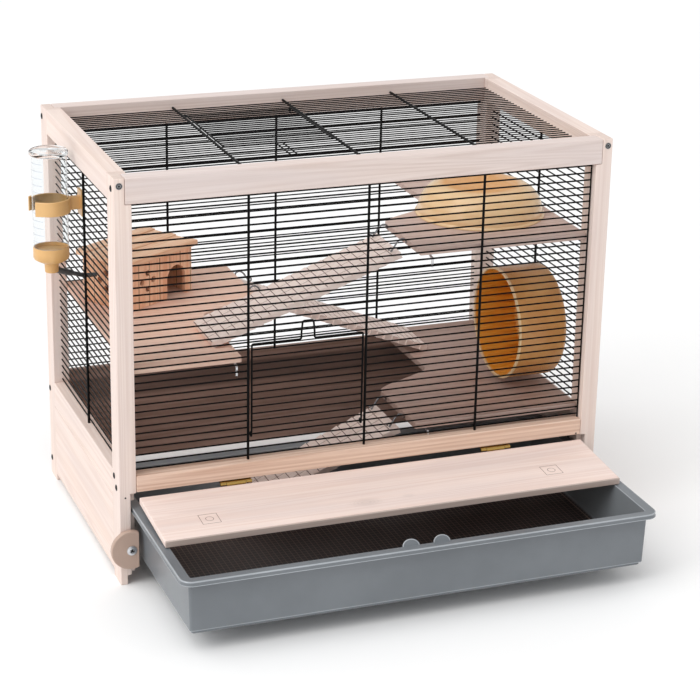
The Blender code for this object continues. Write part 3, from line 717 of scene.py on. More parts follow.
def makeGrilles():
    w = wires
    levels = barPlaces(windowLow, windowHigh)
    rows = barPlaces(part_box("top_rail_front")[1].y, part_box("top_rail_back")[0].y)
    ribsFront = [cageMiddle.x + x * mm for x in w["ribsFront"]]
    ribsRoof = [cageMiddle.x + x * mm for x in w["ribsRoof"]]
    frontLow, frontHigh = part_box("front_grille")
    grille("front", "front_grille", levels, 0, 2, ribsFront, -1.0, w["doorFront"], ribsFront[:2],
           [(x, w["edgeRadius"]) for x in (frontLow.x + w["edgeIn"], frontHigh.x - w["edgeIn"])])
    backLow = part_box("back_grille")[0].z
    backLevels = [z for z in levels if z > backLow]
    grille("back", "back_grille", backLevels, 0, 2, ribsFront, 1.0)
    for side, sign in (("left", -1.0), ("right", 1.0)):
        grille(side, f"{side}_grille", levels, 1, 2, [cageMiddle.y], sign)
    grille("roof", "roof_grille", rows, 0, 1, ribsRoof, 1.0, w["doorRoof"], ribsRoof[:2])
    print("grilles done")
    return levels, rows


def cornered(points, radius, steps=5):
    # a polyline with its inner corners rounded
    points = [Vector(p) for p in points]
    path = [points[0]]
    for before, corner, after in zip(points, points[1:], points[2:]):
        a = corner + (before - corner).normalized() * radius
        b = corner + (after - corner).normalized() * radius
        for k in range(steps + 1):
            t = k / steps
            path.append(a * (1 - t) ** 2 + corner * 2 * t * (1 - t) + b * t * t)
    return path + [points[-1]]


def doorObject(name, paths, frameCount):
    # the outline and its loops in thick wire, the bars between in thin wire
    w = wires
    bm = bmesh.new()
    for n, path in enumerate(paths):
        tubeMesh(bm, path, w["doorFrame"] if n < frameCount else w["door"], 8)
    bmesh.ops.recalc_face_normals(bm, faces=bm.faces)
    obj = fromBmesh(f"{name}_wires", bm, 40.0)
    place(obj, name, "black_wire", wireBlack, [name])


def makeFrontDoor(levels):
    w = wires
    low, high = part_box("front_door")
    y = (low.y + high.y) / 2
    hinge = jointPlace("front_door_hinge")
    left, right = low.x + w["doorFrame"], high.x - w["doorFrame"]
    first, last = w["doorFront"]
    top = levels[last] - 2.0 * mm
    crest = high.z - w["doorFrame"]
    middle = (low.x + high.x) / 2
    hump = 6.5 * mm
    along, back, up = Vector((1, 0, 0)), Vector((0, 1, 0)), Vector((0, 0, 1))
    ring = w["thin"]["front"] + w["doorFrame"] + 0.2 * mm
    foot = hump + 1.5 * mm
    outline = [(left, y, hinge.z + 2.0 * mm), (left, y, top), (middle - foot, y, top),
               (middle - foot, y, top + 8.0 * mm), (middle - hump, y, crest), (middle + hump, y, crest),
               (middle + foot, y, top + 8.0 * mm), (middle + foot, y, top), (right, y, top),
               (right, y, hinge.z + 2.0 * mm)]
    paths = [cornered(outline, 2.4 * mm)]
    for x in (left, right):
        centre = Vector((x, hinge.y, hinge.z))
        paths.append(arcPoints(centre, ring, 150.0, 150.0 + 330.0, 16, back, up))
    for z in levels[first + 1:last]:
        paths.append([(left, y, z), (middle, y, z), (right, y, z)])
    doorObject("front_door", paths, 3)


def makeRoofDoor(rows):
    w = wires
    low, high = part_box("roof_door")
    z = (low.z + high.z) / 2
    hinge = jointPlace("roof_door_hinge")
    left, right = low.x + w["doorFrame"], high.x - w["doorFrame"]
    first, last = w["doorRoof"]
    front = rows[first]
    middle = (low.x + high.x) / 2
    back, up = Vector((0, 1, 0)), Vector((0, 0, 1))
    ring = w["thin"]["front"] + w["doorFrame"] + 0.2 * mm
    paths = [cornered([(left, hinge.y - 2.0 * mm, z), (left, front, z), (right, front, z),
                       (right, hinge.y - 2.0 * mm, z)], 2.4 * mm)]
    for x in (left, right):
        paths.append(arcPoints((x, hinge.y, hinge.z), ring, -60.0, 270.0, 16, back, up))
    for y in rows[first + 1:last]:
        paths.append([(left, y, z), (middle, y, z), (right, y, z)])
    reach = low.y + w["doorFrame"]
    paths.append(cornered([(middle - 4.0 * mm, front, z), (middle - 4.0 * mm, reach, z),
                           (middle + 4.0 * mm, reach, z), (middle + 4.0 * mm, front, z)], 3.0 * mm))
    doorObject("roof_door", paths, 3)
    print("doors done")


tray = {
    "corner": 14.0 * mm,
    "rimReach": 10.0 * mm,
    "skirt": 6.0 * mm,
    "wall": 2.5 * mm,
    "draft": 2.0 * mm,
    "lip": 4.0 * mm,
    "lipIn": 2.4 * mm,
    "grid": 6.2 * mm,
    "tabs": (-18.0, 19.0),
    "tabRadius": 9.5 * mm,
    "cornerSteps": 10,
}


def trayFinishes():
    outer = plasticFinish("trayGrey", linear(118, 123, 128), 0.3, 0.1, 1200.0, linear(110, 115, 120))
    # painted highlight: a lighter grey for the rounded rims and the lines along the tray
    edge = plasticFinish("trayEdgeHighlight", linear(172, 178, 183), 0.24, 0.05, 1200.0)
    finish = Finish("trayInsideWithPaintedShade")
    spot = finish.places()
    x, y, z = finish.parts(spot)
    cloud = finish.noise(spot, 9.0, 3.0)
    lineX = 1.0 - finish.fit((x / tray["grid"]).wrapped(0.5), 0.03, 0.1)
    lineY = 1.0 - finish.fit((y / tray["grid"]).wrapped(0.5), 0.03, 0.12)
    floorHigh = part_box("tray")[0].z + tray["lip"] + tray["wall"]
    onFloor = 1.0 - finish.fit(z, floorHigh, floorHigh + 2.5 * mm)
    lines = (lineX * 0.75).greatest(lineY * 0.5) * onFloor
    # painted shade: the tray floor is coloured far darker than the grey plastic; the grid lines are the
    # floor's own pattern
    deep = finish.mix(finish.fit(cloud, 0.3, 0.7), linear(74, 66, 66), linear(60, 53, 53))
    side = finish.mix(onFloor, linear(134, 139, 143), deep)
    finish.bump(lines, 0.4, 0.0004)
    finish.set(Base_Color=finish.mix(lines, side, linear(142, 124, 114)), Roughness=0.4 + cloud * 0.08)
    return outer, finish.material, edge


def roundedRing(low, high, inset, corner, z):
    radius = max(corner - inset, 3.0 * mm)
    a, b = (low.x + inset, low.y + inset), (high.x - inset, high.y - inset)
    points = []
    centres = ((b[0] - radius, a[1] + radius, -90.0), (b[0] - radius, b[1] - radius, 0.0),
               (a[0] + radius, b[1] - radius, 90.0), (a[0] + radius, a[1] + radius, 180.0))
    for cx, cy, start in centres:
        for n in range(tray["cornerSteps"] + 1):
            angle = math.radians(start + 90.0 * n / tray["cornerSteps"])
            points.append((cx + radius * math.cos(angle), cy + radius * math.sin(angle), z))
    return points


def makeTray():
    t = tray
    low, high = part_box("tray")
    finishes = trayFinishes()
    reach, wall = t["rimReach"], t["wall"]
    rimLow = high.z - t["skirt"]
    top, base = high.z, low.z
    inner = reach + wall
    foot = reach + t["draft"]
    # inset from the rim, height, and finish of the band that ends there: 0 outside, 1 inside, 2 lighter edge,
    # a painted highlight along the rounded rims and lines
    stack = [
        (foot + t["lipIn"] + 0.5 * mm, base, 0), (foot + t["lipIn"], base + 0.6 * mm, 0),
        (foot + t["lipIn"], base + t["lip"] - 0.7 * mm, 0), (foot, base + t["lip"], 2),
        (foot - 0.1 * mm, base + t["lip"] + 0.8 * mm, 2), (reach + 0.3 * mm, rimLow + 0.1 * mm, 0),
        (1.6 * mm, rimLow + 0.1 * mm, 0), (1.4 * mm, rimLow, 0), (0.4 * mm, rimLow, 0),
        (0.0, rimLow + 0.4 * mm, 2), (0.0, rimLow + 1.1 * mm, 2),
        (0.5 * mm, rimLow + 1.5 * mm, 0), (0.6 * mm, top - 1.5 * mm, 0),
        (0.4 * mm, top - 0.9 * mm, 2), (0.9 * mm, top - 0.2 * mm, 2), (1.5 * mm, top, 2),
        (2.4 * mm, top, 0), (inner - 1.6 * mm, top - 0.7 * mm, 0), (inner - 0.6 * mm, top - 0.6 * mm, 0),
        (inner, top - 1.2 * mm, 2), (foot + wall, base + t["lip"] + 9.0 * mm, 1),
        (foot + wall + 0.5 * mm, base + t["lip"] + 5.5 * mm, 1),
        (foot + wall + 5.0 * mm, base + wall + 2.4 * mm, 1),
        (foot + wall + 6.5 * mm, base + wall + 1.6 * mm, 1),
    ]
    bm = bmesh.new()
    rings = [[bm.verts.new(p) for p in roundedRing(low, high, inset, t["corner"], z)]
             for inset, z, _ in stack]
    count = len(rings[0])
    for (lower, upper), (_, _, band) in zip(zip(rings, rings[1:]), stack[1:]):
        for n in range(count):
            m = (n + 1) % count
            face = bm.faces.new((lower[n], lower[m], upper[m], upper[n]))
            face.material_index = band
    bm.faces.new(rings[0][::-1])
    floor = bm.faces.new(rings[-1])
    floor.material_index = 1
    for x in t["tabs"]:
        # half-round thumb tabs that lean in from the front rim
        middle = Vector((cageMiddle.x + x * mm, low.y + inner + 0.4 * mm, top - 1.6 * mm))
        arc = arcPoints(middle, t["tabRadius"], 0.0, 180.0, 16, Vector((1, 0, 0)), Vector((0, 0.4, 0.68)))
        plate = []
        for shift in (-0.35 * mm, 0.35 * mm):
            plate.append([bm.verts.new(p + Vector((0, shift, 0))) for p in arc])
        bm.faces.new(plate[0])
        bm.faces.new(plate[1][::-1])
        for n in range(len(arc)):
            m = (n + 1) % len(arc)
            bm.faces.new((plate[0][n], plate[1][n], plate[1][m], plate[0][m]))
        start = len(bm.faces)
        # the tabs' rounded edges take the same painted highlight
        tubeMesh(bm, arc, 0.75 * mm, 8)
        bm.faces.ensure_lookup_table()
        for face in bm.faces[start:]:
            face.material_index = 2
    bmesh.ops.recalc_face_normals(bm, faces=bm.faces)
    obj = fromBmesh("tray_shell", bm, 24.0)
    place(obj, "tray", "tray_plastic", finishes, ["tray"])
    print("tray done")


flapLook = {
    "edge": 1.0 * mm,
    "knot": (-33.0, -86.0, 13.0),
    "marks": ((-216.0, -74.0), (208.0, -70.0)),
    "markSize": 11.0 * mm,
}


def makeFlap():
    f = flapLook
    low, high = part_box("flap")
    x, y, radius = f["knot"]
    top = high.z - 4.0 * mm
    knot = (Vector((cageMiddle.x + x * mm, cageLow.y + y * mm, top)), radius * mm, 0.4)
    small = (Vector((cageMiddle.x + 20.0 * mm, cageLow.y - 84.0 * mm, top)), 6.0 * mm, 0.25)
    marks = [(cageMiddle.x + a * mm, cageLow.y + b * mm, f["markSize"]) for a, b in f["marks"]]
    # painted shade along the flap's front edge, through shaded
    wood = woodFinish("flapWood", linear(250, 231, 222), linear(234, 208, 196), 0, 6.0, wash=0.35,
                      knots=[knot, small], marks=marks, endGrain=False,
                      shaded=(1, low.y + 1.9 * mm, linear(150, 134, 124)))
    softened("flap", f["edge"], wood, "frame_wood", 3)
    for side in ("left", "right"):
        for part in ("rail_leaf", "flap_leaf", "pin"):
            softened(f"hinge_{side}_{part}", 0.12 * mm, brassFinish, "brass", 1)
    print("flap done")


buttonLook = {"edge": 1.6 * mm, "slotWide": 1.1 * mm, "slotLong": 4.6 * mm}


def makeButtons():
    b = buttonLook
    plastic = plasticFinish("buttonPlastic", linear(200, 172, 156), 0.42, 0.2)
    for side in ("left", "right"):
        node = f"turn_button_{side}"
        softened(node, b["edge"], plastic, "button_plastic", 3)
        low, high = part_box(f"button_screw_{side}")
        centre = (low + high) / 2
        face = low.y
        radius = (high.x - low.x) / 2
        profile = [(0.0, high.y), (2.0 * mm, high.y), (2.0 * mm, face + 1.8 * mm), (radius, face + 1.8 * mm),
                   (radius * 0.96, face + 1.0 * mm), (radius * 0.7, face + 0.25 * mm), (radius * 0.45, face),
                   (radius * 0.38, face + 1.1 * mm), (0.0, face + 1.2 * mm)]
        head = revolve(f"button_screw_{side}_head", profile, (centre.x, 0.0, centre.z), "Y", 32)
        place(head, "cage", "zinc", pinFinish, [f"button_screw_{side}"])
        # the cross is a dark block of painted shade in the screw head's hollow
        slotTurn = Matrix.Rotation(math.radians(20.0), 3, "Y")
        bm = bmesh.new()
        for size in ((b["slotLong"], b["slotWide"]), (b["slotWide"], b["slotLong"])):
            bar = bmesh.ops.create_cube(bm, size=1.0)["verts"]
            bmesh.ops.scale(bm, verts=bar, vec=(size[0], 0.9 * mm, size[1]))
            bmesh.ops.rotate(bm, verts=bar, cent=(0, 0, 0), matrix=slotTurn)
            bmesh.ops.translate(bm, verts=bar, vec=(centre.x, face + 0.55 * mm, centre.z))
        place(fromBmesh(f"button_cross_{side}", bm), "cage", "zinc", recessShade)
    print("buttons done")


shelfLook = {
    "edge": 1.3 * mm,
    "pins": {"shelf_left": -156.0, "shelf_upper": 82.0, "shelf_lower": 83.5},
    "pinBends": ((7.0, 2.0), (7.0, -2.2), (5.0, -3.8), (1.2, -3.8), (-0.2, -5.5), (-0.2, -15.0)),
    "pinRadius": 1.4 * mm,
}


def makeShelves():
    s = shelfLook
    # painted shade: the upper and lower shelves are the left shelf's wood coloured darker, the lower one
    # darkest
    shelfTonesWithShade = {
        "shelf_left": (linear(250, 216, 196), linear(236, 192, 170)),
        "shelf_upper": (linear(224, 198, 187), linear(198, 169, 157)),
        "shelf_lower": (linear(200, 172, 160), linear(170, 138, 124)),
    }
    pins = []
    for seed, (node, (light, dark)) in enumerate(shelfTonesWithShade.items()):
        wood = woodFinish(f"{node}Wood", light, dark, 0, 7.0 + seed, wash=0.15)
        softened(node, s["edge"], wood, "shelf_wood")
        low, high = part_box(node)
        x = cageMiddle.x + s["pins"][node] * mm
        pins.append(smoothPath([(x, low.y + a * mm, low.z + b * mm) for a, b in s["pinBends"]]))
    obj = wireObject("shelf_pins", pins, s["pinRadius"], 10)
    place(obj, "cage", "zinc", pinFinish)
    print("shelves done")


rampLook = {
    "thick": 8.0 * mm,
    "slat": 10.8 * mm,           # length of one cut step
    "groove": 0.9 * mm,
    "sideStep": 2.4 * mm,
    "drop": 1.1 * mm,
    "columns": 4,
    "grooveWide": 0.8 * mm,
    "hookEye": 2.2 * mm,
    "hookWire": 1.05 * mm,
    # the hook's bends, as shares of its box from the ramp's side
    "hookShape": ((0.08, 0.12), (0.15, 0.24), (0.22, 0.42), (0.3, 0.62), (0.4, 0.75), (0.5, 0.76),
                  (0.58, 0.67), (0.59, 0.52)),
}


def rampMesh(name, foot, ahead, up, across, long, wide, thick):
    # a board with a row of cut steps: each step is a little narrower and lower at its lower end
    r = rampLook
    count = max(2, round(long / r["slat"]))
    step = long / count
    half = wide / 2
    cuts = [half * 2 * k / r["columns"] - half for k in range(1, r["columns"])]

    def section(distance, inset, drop):
        points = [(-half + inset, 0.0), (-half + inset, thick - drop)]
        for cut in cuts:
            w = r["grooveWide"] / 2
            points += [(cut - w, thick - drop), (cut, thick - drop - r["groove"]), (cut + w, thick - drop)]
        points += [(half - inset, thick - drop), (half - inset, 0.0)]
        return [foot + ahead * distance + across * a + up * b for a, b in points]

    bm = bmesh.new()
    rings = []
    for n in range(count):
        rings.append(section(n * step + 0.05 * mm, r["sideStep"], 0.2 * mm))
        rings.append(section(n * step + 0.55 * mm, r["sideStep"] * 0.96, r["drop"]))
        rings.append(section(n * step + 1.05 * mm, r["sideStep"] * 0.92, 0.2 * mm))
        rings.append(section((n + 1) * step, 0.0, 0.0))
    rings = [[bm.verts.new(p) for p in ring] for ring in rings]
    for lower, upper in zip(rings, rings[1:]):
        riser = rings.index(upper) % 4 in (1, 2)
        for k in range(len(lower)):
            m = (k + 1) % len(lower)
            face = bm.faces.new((lower[k], lower[m], upper[m], upper[k]))
            groove = 2 <= k < len(lower) - 3 and (k - 2) % 3 < 2
            face.material_index = 1 if groove or (riser and 0 < k < len(lower) - 2) else 0
    bm.faces.new(rings[0][::-1])
    bm.faces.new(rings[-1])
    bmesh.ops.recalc_face_normals(bm, faces=bm.faces)
    return fromBmesh(name, bm)


def makeRamps():
    r = rampLook
    thick = r["thick"]
    lookUp = {"ramp_upper": -1.0, "ramp_middle": 1.0, "ramp_lower": -1.0}
    for seed, (node, lean) in enumerate(lookUp.items()):
        low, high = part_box(node)
        run, rise = high.x - low.x, high.z - low.z
        # the board's side outline fills its box:
        # long * cos + thick * sin = run and long * sin + thick * cos = rise
        slope = math.atan2(rise, run)
        for _ in range(30):
            long = (run - thick * math.sin(slope)) / math.cos(slope)
            slope = math.asin((rise - thick * math.cos(slope)) / long)
        ahead = Vector((-lean * math.cos(slope), 0.0, math.sin(slope)))
        up = Vector((lean * math.sin(slope), 0.0, math.cos(slope)))
        footX = low.x + (thick * math.sin(slope) if lean < 0 else 0.0)
        if lean > 0:
            footX = high.x - thick * math.sin(slope)
        foot = Vector((footX, (low.y + high.y) / 2, low.z))
        obj = rampMesh(f"{node}_board", foot, ahead, up, Vector((0, 1, 0)), long, high.y - low.y, thick)
        wood = woodFinish(f"{node}Wood", linear(250, 234, 226), linear(236, 213, 203), 0, 11.0 + seed,
                          wash=0.1, depth=0.7, endGrain=False)
        cut = woodFinish(f"{node}Cut", linear(168, 138, 126), linear(140, 112, 102), 0, 14.0, wash=0.0)
        place(obj, node, "shelf_wood", [wood, cut], [node])
        for n in (1, 2):
            hook = f"{node}_hook_{n}"
            a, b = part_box(hook)
            y = (a.y + b.y) / 2
            near, far = (a.x, b.x) if lean < 0 else (b.x, a.x)
            points = [(near + (far - near) * u, y, a.z + (b.z - a.z) * v) for u, v in r["hookShape"]]
            eye = Vector(points[0]) + Vector((0, 0, r["hookEye"]))
            loop = arcPoints(eye, r["hookEye"], -90.0, 200.0, 12, Vector((1, 0, 0)), Vector((0, 0, 1)))
            obj = wireObject(f"{hook}_wire", [smoothPath(points), loop], r["hookWire"], 10)
            place(obj, node, "zinc", zincFinish, [hook])
    print("ramps done")


wheelLook = {"treads": 44, "bead": 1.8 * mm, "wall": 2.4 * mm, "bore": 4.4 * mm}


def makeWheel():
    low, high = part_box("wheel")
    centre = jointPlace("wheel_spin")
    radius = (high.z - low.z) / 2
    wide = centre.x - low.x
    wall = wheelLook["wall"]
    bead = wheelLook["bead"]
    tan = plasticFinish("wheelOuter", linear(222, 170, 106), 0.26, 0.08, 1200.0, linear(202, 142, 80))
    orange = plasticFinish("wheelInner", linear(248, 184, 78), 0.32, 0.08, 1200.0, linear(240, 168, 58))
    bright = plasticFinish("wheelRim", linear(250, 218, 168), 0.25, 0.05)
    bore = wheelLook["bore"]
    hub = bore + 4.0 * mm
    profile = [(bore, 0.0), (hub + 6.0 * mm, 0.0), (hub + 8.0 * mm, -0.9 * mm),
               (radius - 13.0 * mm, -0.9 * mm), (radius - 10.0 * mm, -0.4 * mm)]
    for n in range(1, 8):
        angle = math.radians(90.0 - 90.0 * n / 8)
        profile.append((radius - 9.0 * mm + 8.6 * mm * math.cos(angle),
                        -9.0 * mm + 8.6 * mm * math.sin(angle)))
    outerCount = len(profile)
    profile += [(radius - 0.6 * mm, -wide + 6.0 * mm), (radius - 0.5 * mm, -wide + 2.6 * mm),
                (radius, -wide + bead), (radius, -wide + 0.5 * mm), (radius - 0.7 * mm, -wide),
                (radius - wall - 0.6 * mm, -wide), (radius - wall - 1.2 * mm, -wide + 0.6 * mm),
                (radius - wall - 1.0 * mm, -wide + 2.2 * mm), (radius - wall - 0.4 * mm, -10.0 * mm),
                (radius - wall - 7.0 * mm, -wall - 0.6 * mm), (hub, -wall - 0.6 * mm), (hub, -9.0 * mm),
                (bore, -9.0 * mm)]
    bands = [0] * (outerCount + 1) + [2] * 6 + [1] * 7
    drum = revolve("wheel_drum", profile, centre, "X", 96, bands)
    place(drum, "wheel", "orange_plastic", [tan, orange, bright], ["wheel"])
    treadWide = wide - 16.0 * mm
    mesh = blockRing.mesh("treads", Centre=(centre.x - wide / 2 - 1.0 * mm, centre.y, centre.z),
                          Radius=radius - wall - 1.0 * mm, Count=wheelLook["treads"],
                          Size=(1.1 * mm, 1.6 * mm, treadWide), Material=orange)
    mesh.materials.clear()
    treads = newObject("wheel_treads", mesh)
    place(treads, "wheel", "orange_plastic", orange)
    bracket = plasticFinish("bracketPlastic", linear(222, 180, 125), 0.36)
    softened("wheel_bracket", 0.5 * mm, bracket, "beige_plastic")
    print("wheel done")


domeLook = {"wall": 2.2 * mm, "flare": 2.4 * mm, "flareHigh": 3.4 * mm, "flat": 0.56, "steps": 14}


def makeDome():
    d = domeLook
    low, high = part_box("dome")
    centre = ((low.x + high.x) / 2, (low.y + high.y) / 2, low.z)
    radius = (high.x - low.x) / 2
    tall = high.z - low.z
    finish = Finish("domePlastic")
    spot = finish.places(centre)
    x, y, z = finish.parts(spot)
    cloud = finish.noise(spot, 16.0, 3.0)
    far = (x * x + y * y) ** 0.5
    cap = 1.0 - finish.fit(far + (cloud - 0.5) * 0.01, radius * 0.52, radius * 0.66)
    band = finish.fit((z / (11.0 * mm)).wrapped(0.5), 0.1, 0.5)
    pale = finish.mix(band * 0.35, linear(246, 210, 162), linear(232, 184, 128))
    colour = finish.mix(cap * 0.75, pale, linear(240, 166, 74))
    seamTurn = math.radians(studio["azimuth"])
    across = x * math.cos(seamTurn) + y * math.sin(seamTurn)
    seam = (1.0 - finish.fit(across.size(), 0.4 * mm, 0.9 * mm)) * y.below(0.0) * z.below(tall * 0.7)
    colour = finish.mix(seam * 0.6, colour, linear(196, 140, 78))
    finish.bump(finish.noise(spot, 1100.0, 2.0) + seam * 2.0, 0.08, 0.0001)
    finish.set(Base_Color=colour, Roughness=0.22 + cloud * 0.08)
    finish.shader.inputs["Coat Weight"].default_value = 0.4
    flat = radius * d["flat"]
    shells = []
    for inset in (0.0, d["wall"]):
        side = radius - d["flare"] - inset
        shell = [(radius - inset, 0.0), (radius - inset, d["flareHigh"] * 0.4), (side, d["flareHigh"])]
        for n in range(1, d["steps"] + 1):
            angle = math.radians(90.0 * n / d["steps"])
            shell.append((flat + (side - flat) * math.cos(angle),
                          d["flareHigh"] + (tall - d["flareHigh"] - inset) * math.sin(angle)))
        under = tall - inset
        shell += [(flat * 0.6, under), (flat * 0.3, under - 0.2 * mm), (0.0, under - 0.3 * mm)]
        shells.append(shell)
    loop = shells[0][::-1] + shells[1]
    shell = revolve("dome_shell", loop, centre, "Z", 96)
    place(shell, "dome", "orange_plastic", finish.material, ["dome"])
    print("dome done")


houseLook = {
    "turn": 32.0,
    "corner": (162.0, 253.0),
    "edge": 0.7 * mm,
    "plank": 18.6 * mm,
    "roofPlanks": 5,
    "roofWide": 124.0 * mm,
    "roofDeep": 88.0 * mm,
}


def makeHouse():
    h = houseLook
    light, dark = linear(255, 216, 184), linear(240, 180, 142)
    corner = cageLow + Vector((*h["corner"], 0.0)) * mm
    wall = woodFinish("houseWall", light, dark, 2, 15.0, turn=h["turn"], endGrain=False, wash=0.0,
                      planks=(0, h["plank"], corner.x))
    # painted shade: the side walls are the same planks as the front and back, coloured darker
    sideWallShaded = woodFinish("houseSidePaintedShade", linear(240, 190, 154), linear(216, 158, 120), 2, 16.0, turn=h["turn"],
                          endGrain=False, wash=0.0, planks=(1, h["plank"], corner.y))
    roofWood = woodFinish("houseRoof", linear(255, 220, 190), linear(240, 188, 150), 0, 17.0, turn=h["turn"],
                          endGrain=False, wash=0.0)
    for side, wood in (("front", wall), ("back", wall), ("left", sideWallShaded), ("right", sideWallShaded)):
        softened(f"house_{side}", h["edge"], wood, "house_wood")
    # roof boards side by side, with small gaps, over the CAD board
    low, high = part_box("house_roof")
    centre = (low + high) / 2
    turned = Matrix.Translation(Vector((centre.x, centre.y, low.z)))
    turned = turned @ Matrix.Rotation(math.radians(h["turn"]), 4, "Z")
    wide, deep, thick = h["roofWide"], h["roofDeep"], high.z - low.z
    bm = bmesh.new()
    plank = deep / h["roofPlanks"]
    for n in range(h["roofPlanks"]):
        a = -deep / 2 + n * plank + 0.3 * mm
        b = a + plank - 0.6 * mm
        shift = (1.2 if n % 2 else 0.0) * mm
        box = bmesh.ops.create_cube(bm, size=1.0)["verts"]
        size = Matrix.Diagonal((wide - shift * 2, b - a, thick - 1.1 * mm * (n % 2), 1.0))
        spot = Matrix.Translation((0.0, (a + b) / 2, (thick - 1.1 * mm * (n % 2)) / 2))
        bmesh.ops.transform(bm, verts=box, matrix=turned @ spot @ size)
    bmesh.ops.recalc_face_normals(bm, faces=bm.faces)
    roof = bevelled(fromBmesh("house_roof_boards", bm), 0.8 * mm, 2)
    place(roof, "house", "house_wood", roofWood, ["house_roof"])
    print("house done")


bottleLook = {
    "outer": 21.0 * mm,
    "wall": 1.1 * mm,
    "tick": 8.5 * mm,            # from one mark to the next
    "clipEnds": (157.0, -142.0),
    "clipInside": 21.4 * mm,
    "clipWall": 2.6 * mm,
    "clipFlare": 2.6 * mm,
    "plateTall": 30.0 * mm,
}


def makeClip(x, y, finish):
    # an open ring with flared ends, and a plate against the wire
    b = bottleLook
    low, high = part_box("bottle_clip")
    inside = b["clipInside"]
    start, end = b["clipEnds"]
    steps = 56
    line = []
    for n in range(steps + 1):
        t = n / steps
        angle = math.radians(start + (end - start) * t)
        flare = b["clipFlare"] * max(0.0, 1.0 - min(t, 1.0 - t) * steps / 5.0) ** 2
        line.append((angle, flare))
    bm = bmesh.new()
    rings = []
    for angle, flare in line:
        out = Vector((math.cos(angle), math.sin(angle), 0.0))
        middle = Vector((x, y, 0.0))
        edge = 0.5 * mm
        section = [(inside, low.z + edge), (inside + edge, low.z), (inside + b["clipWall"] - edge, low.z),
                   (inside + b["clipWall"], low.z + edge), (inside + b["clipWall"], high.z - edge),
                   (inside + b["clipWall"] - edge, high.z), (inside + edge, high.z), (inside, high.z - edge)]
        rings.append([bm.verts.new(middle + out * (r + flare) + Vector((0, 0, z))) for r, z in section])
    for lower, upper in zip(rings, rings[1:]):
        for k in range(8):
            bm.faces.new((lower[k], lower[(k + 1) % 8], upper[(k + 1) % 8], upper[k]))
    bm.faces.new(rings[0][::-1])
    bm.faces.new(rings[-1])
    for corner in bm.verts:
        corner.co.x = max(corner.co.x, low.x)
    middle = (low.z + high.z) / 2
    plates = (((high.x - 2.6 * mm, high.x), 10.0 * mm, b["plateTall"] / 2),
              ((x + inside + 0.4 * mm, high.x - 1.3 * mm), 3.4 * mm, (high.z - low.z) / 2 - 1.0 * mm))
    for (x0, x1), halfWide, halfTall in plates:
        box = bmesh.ops.create_cube(bm, size=1.0)["verts"]
        bmesh.ops.scale(bm, verts=box, vec=(x1 - x0, halfWide * 2, halfTall * 2))
        bmesh.ops.translate(bm, verts=box, vec=((x0 + x1) / 2, y, middle))
    bmesh.ops.recalc_face_normals(bm, faces=bm.faces)
    obj = fromBmesh("bottle_clip_ring", bm, 30.0)
    place(obj, "cage", "beige_plastic", finish, ["bottle_clip"])


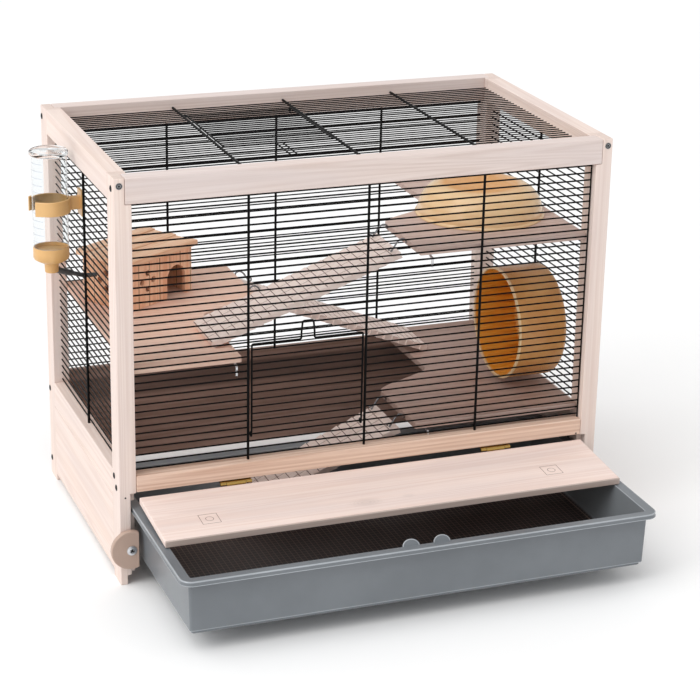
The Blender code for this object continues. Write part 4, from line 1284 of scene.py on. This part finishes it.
def makeBottle():
    low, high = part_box("bottle")
    x, y = (low.x + high.x) / 2, (low.y + high.y) / 2
    outer = bottleLook["outer"]
    end = (high.x - low.x) / 2
    wall = bottleLook["wall"]
    clear = Finish("clearPlastic")
    spot = clear.places()
    wave = clear.noise(spot, 40.0, 2.0)
    clear.bump(wave, 0.05, 0.0004)
    px, py, pz = clear.parts(spot)
    tick = (1.0 - clear.fit((pz / bottleLook["tick"]).wrapped(0.5), 0.02, 0.06)) * (x - px).above(12.0 * mm)
    tick = tick * (py - y).below(4.0 * mm)
    tint = clear.mix(wave, (0.95, 0.97, 0.98), (0.98, 0.99, 0.99))
    clear.set(Base_Color=clear.mix(tick * 0.5, tint, (0.45, 0.52, 0.66)), Roughness=0.02 + wave * 0.03)
    clear.shader.inputs["Transmission Weight"].default_value = 1.0
    clear.shader.inputs["IOR"].default_value = 1.2
    profile = [(0.0, high.z - 1.6 * mm), (end * 0.4, high.z - 1.4 * mm), (end * 0.5, high.z),
               (end - 1.5 * mm, high.z), (end, high.z - 1.2 * mm), (end, high.z - 4.5 * mm),
               (end - 1.2 * mm, high.z - 5.6 * mm),
               (outer, high.z - 7.5 * mm), (outer, low.z + 1.0 * mm), (outer - 0.3 * mm, low.z),
               (outer - wall, low.z), (outer - wall, high.z - 6.0 * mm), (0.0, high.z - 5.0 * mm)]
    obj = revolve("bottle_shell", profile, (x, y, 0.0), "Z", 64)
    place(obj, "cage", "clear_plastic", clear.material, ["bottle"])
    beige = plasticFinish("beigePlastic", linear(228, 184, 124), 0.32, 0.1, 1000.0, linear(212, 164, 102))
    capLow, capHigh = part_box("bottle_cap")
    radius = (capHigh.x - capLow.x) / 2
    top, base = capHigh.z, capLow.z
    profile = [(0.0, top - 4.0 * mm), (radius - 2.4 * mm, top - 4.0 * mm), (radius - 2.0 * mm, top),
               (radius - 0.4 * mm, top), (radius, top - 1.0 * mm), (radius, top - 13.0 * mm),
               (radius - 1.0 * mm, top - 15.0 * mm), (radius - 5.0 * mm, top - 17.5 * mm),
               (11.0 * mm, top - 20.0 * mm), (8.4 * mm, top - 22.0 * mm), (8.0 * mm, base + 0.6 * mm),
               (7.4 * mm, base), (0.0, base)]
    cap = revolve("bottle_cap_shell", profile, (x, y, 0.0), "Z", 64)
    place(cap, "cage", "beige_plastic", beige, ["bottle_cap"])
    makeClip(x, y, beige)
    spoutLow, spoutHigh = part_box("bottle_spout")
    level = spoutLow.z + 2.6 * mm
    steel = metalFinish("spoutSteel", linear(96, 94, 94), 0.3)
    path = smoothPath([(x + 3.0 * mm, y, level + 11.0 * mm), (x + 14.0 * mm, y, level + 7.6 * mm),
                       (x + 28.0 * mm, y, level + 3.4 * mm), (x + 39.0 * mm, y, level + 0.5 * mm),
                       (spoutHigh.x - 0.6 * mm, y, level - 0.2 * mm)])
    bm = bmesh.new()
    tubeMesh(bm, path, 2.6 * mm, 16)
    sleeve = [Vector((x + a * mm, y, level + b * mm)) for a, b in ((5.0, 10.4), (14.0, 7.6), (23.0, 4.9))]
    tubeMesh(bm, sleeve, 3.7 * mm, 20)
    bmesh.ops.recalc_face_normals(bm, faces=bm.faces)
    spout = fromBmesh("bottle_spout_tube", bm, 40.0)
    place(spout, "cage", "zinc", steel, ["bottle_spout"])
    print("bottle done")


def makeCamera():
    s = studio
    a, e, r = (math.radians(s[k]) for k in ("azimuth", "elevation", "roll"))
    back = Vector((math.sin(a) * math.cos(e), -math.cos(a) * math.cos(e), math.sin(e)))
    right = Vector((0.0, 0.0, 1.0)).cross(back).normalized()
    up = back.cross(right)
    turn = Matrix((right, up, back))
    roll = Matrix(((math.cos(r), -math.sin(r), 0.0), (math.sin(r), math.cos(r), 0.0), (0.0, 0.0, 1.0)))
    turn = roll @ turn
    spot = -(turn.transposed() @ Vector((s["across"], s["rise"], -s["away"]))) * mm
    spot += Vector((cageMiddle.x, cageMiddle.y, 0.0))
    data = bpy.data.cameras.new("camera")
    data.sensor_width = s["side"]
    data.lens = s["focal"] / s["frameSide"] * s["side"]
    data.clip_end = 50.0
    camera = bpy.data.objects.new("camera", data)
    camera.matrix_world = Matrix.Translation(spot) @ turn.transposed().to_4x4()
    bpy.context.scene.collection.objects.link(camera)
    bpy.context.scene.camera = camera


def makeStudio():
    bm = bmesh.new()
    bmesh.ops.create_grid(bm, x_segments=1, y_segments=1, size=6.0)
    floor = fromBmesh("floor", bm)
    finish = Finish("floorPaint")
    spot = finish.places()
    cloud = finish.noise(spot, 3.0, 2.0)
    finish.set(Base_Color=finish.mix(cloud, (0.96, 0.96, 0.96), (0.97, 0.97, 0.97)), Roughness=0.9)
    floor.data.materials.append(finish.material)
    world = bpy.data.worlds.new("softWhite")
    world.use_nodes = True
    world.node_tree.nodes["Background"].inputs[0].default_value = (1.0, 1.0, 1.0, 1.0)
    world.node_tree.nodes["Background"].inputs[1].default_value = 0.74
    bpy.context.scene.world = world
    lights = {"key": ("AREA", (-3.2, -1.2, 2.2), 1.8, 34.0), "sky": ("SUN", (-1.2, -0.6, 3.0), 0.9, 1.05)}
    for name, (kind, spot, size, power) in lights.items():
        data = bpy.data.lights.new(name, kind)
        if kind == "SUN":
            data.angle = size
        else:
            data.size = size
        data.energy = power
        lamp = bpy.data.objects.new(name, data)
        lamp.location = spot
        lamp.rotation_euler = (Vector((0.0, 0.0, 0.2)) - Vector(spot)).to_track_quat("-Z", "Y").to_euler()
        bpy.context.scene.collection.objects.link(lamp)
    bpy.context.scene.view_settings.view_transform = "Standard"


makeCamera()
makeStudio()
makeFrame()
makeBolts()
levels, rows = makeGrilles()
makeFrontDoor(levels)
makeRoofDoor(rows)
makeTray()
makeFlap()
makeButtons()
makeShelves()
makeRamps()
makeWheel()
makeDome()
makeHouse()
makeBottle()
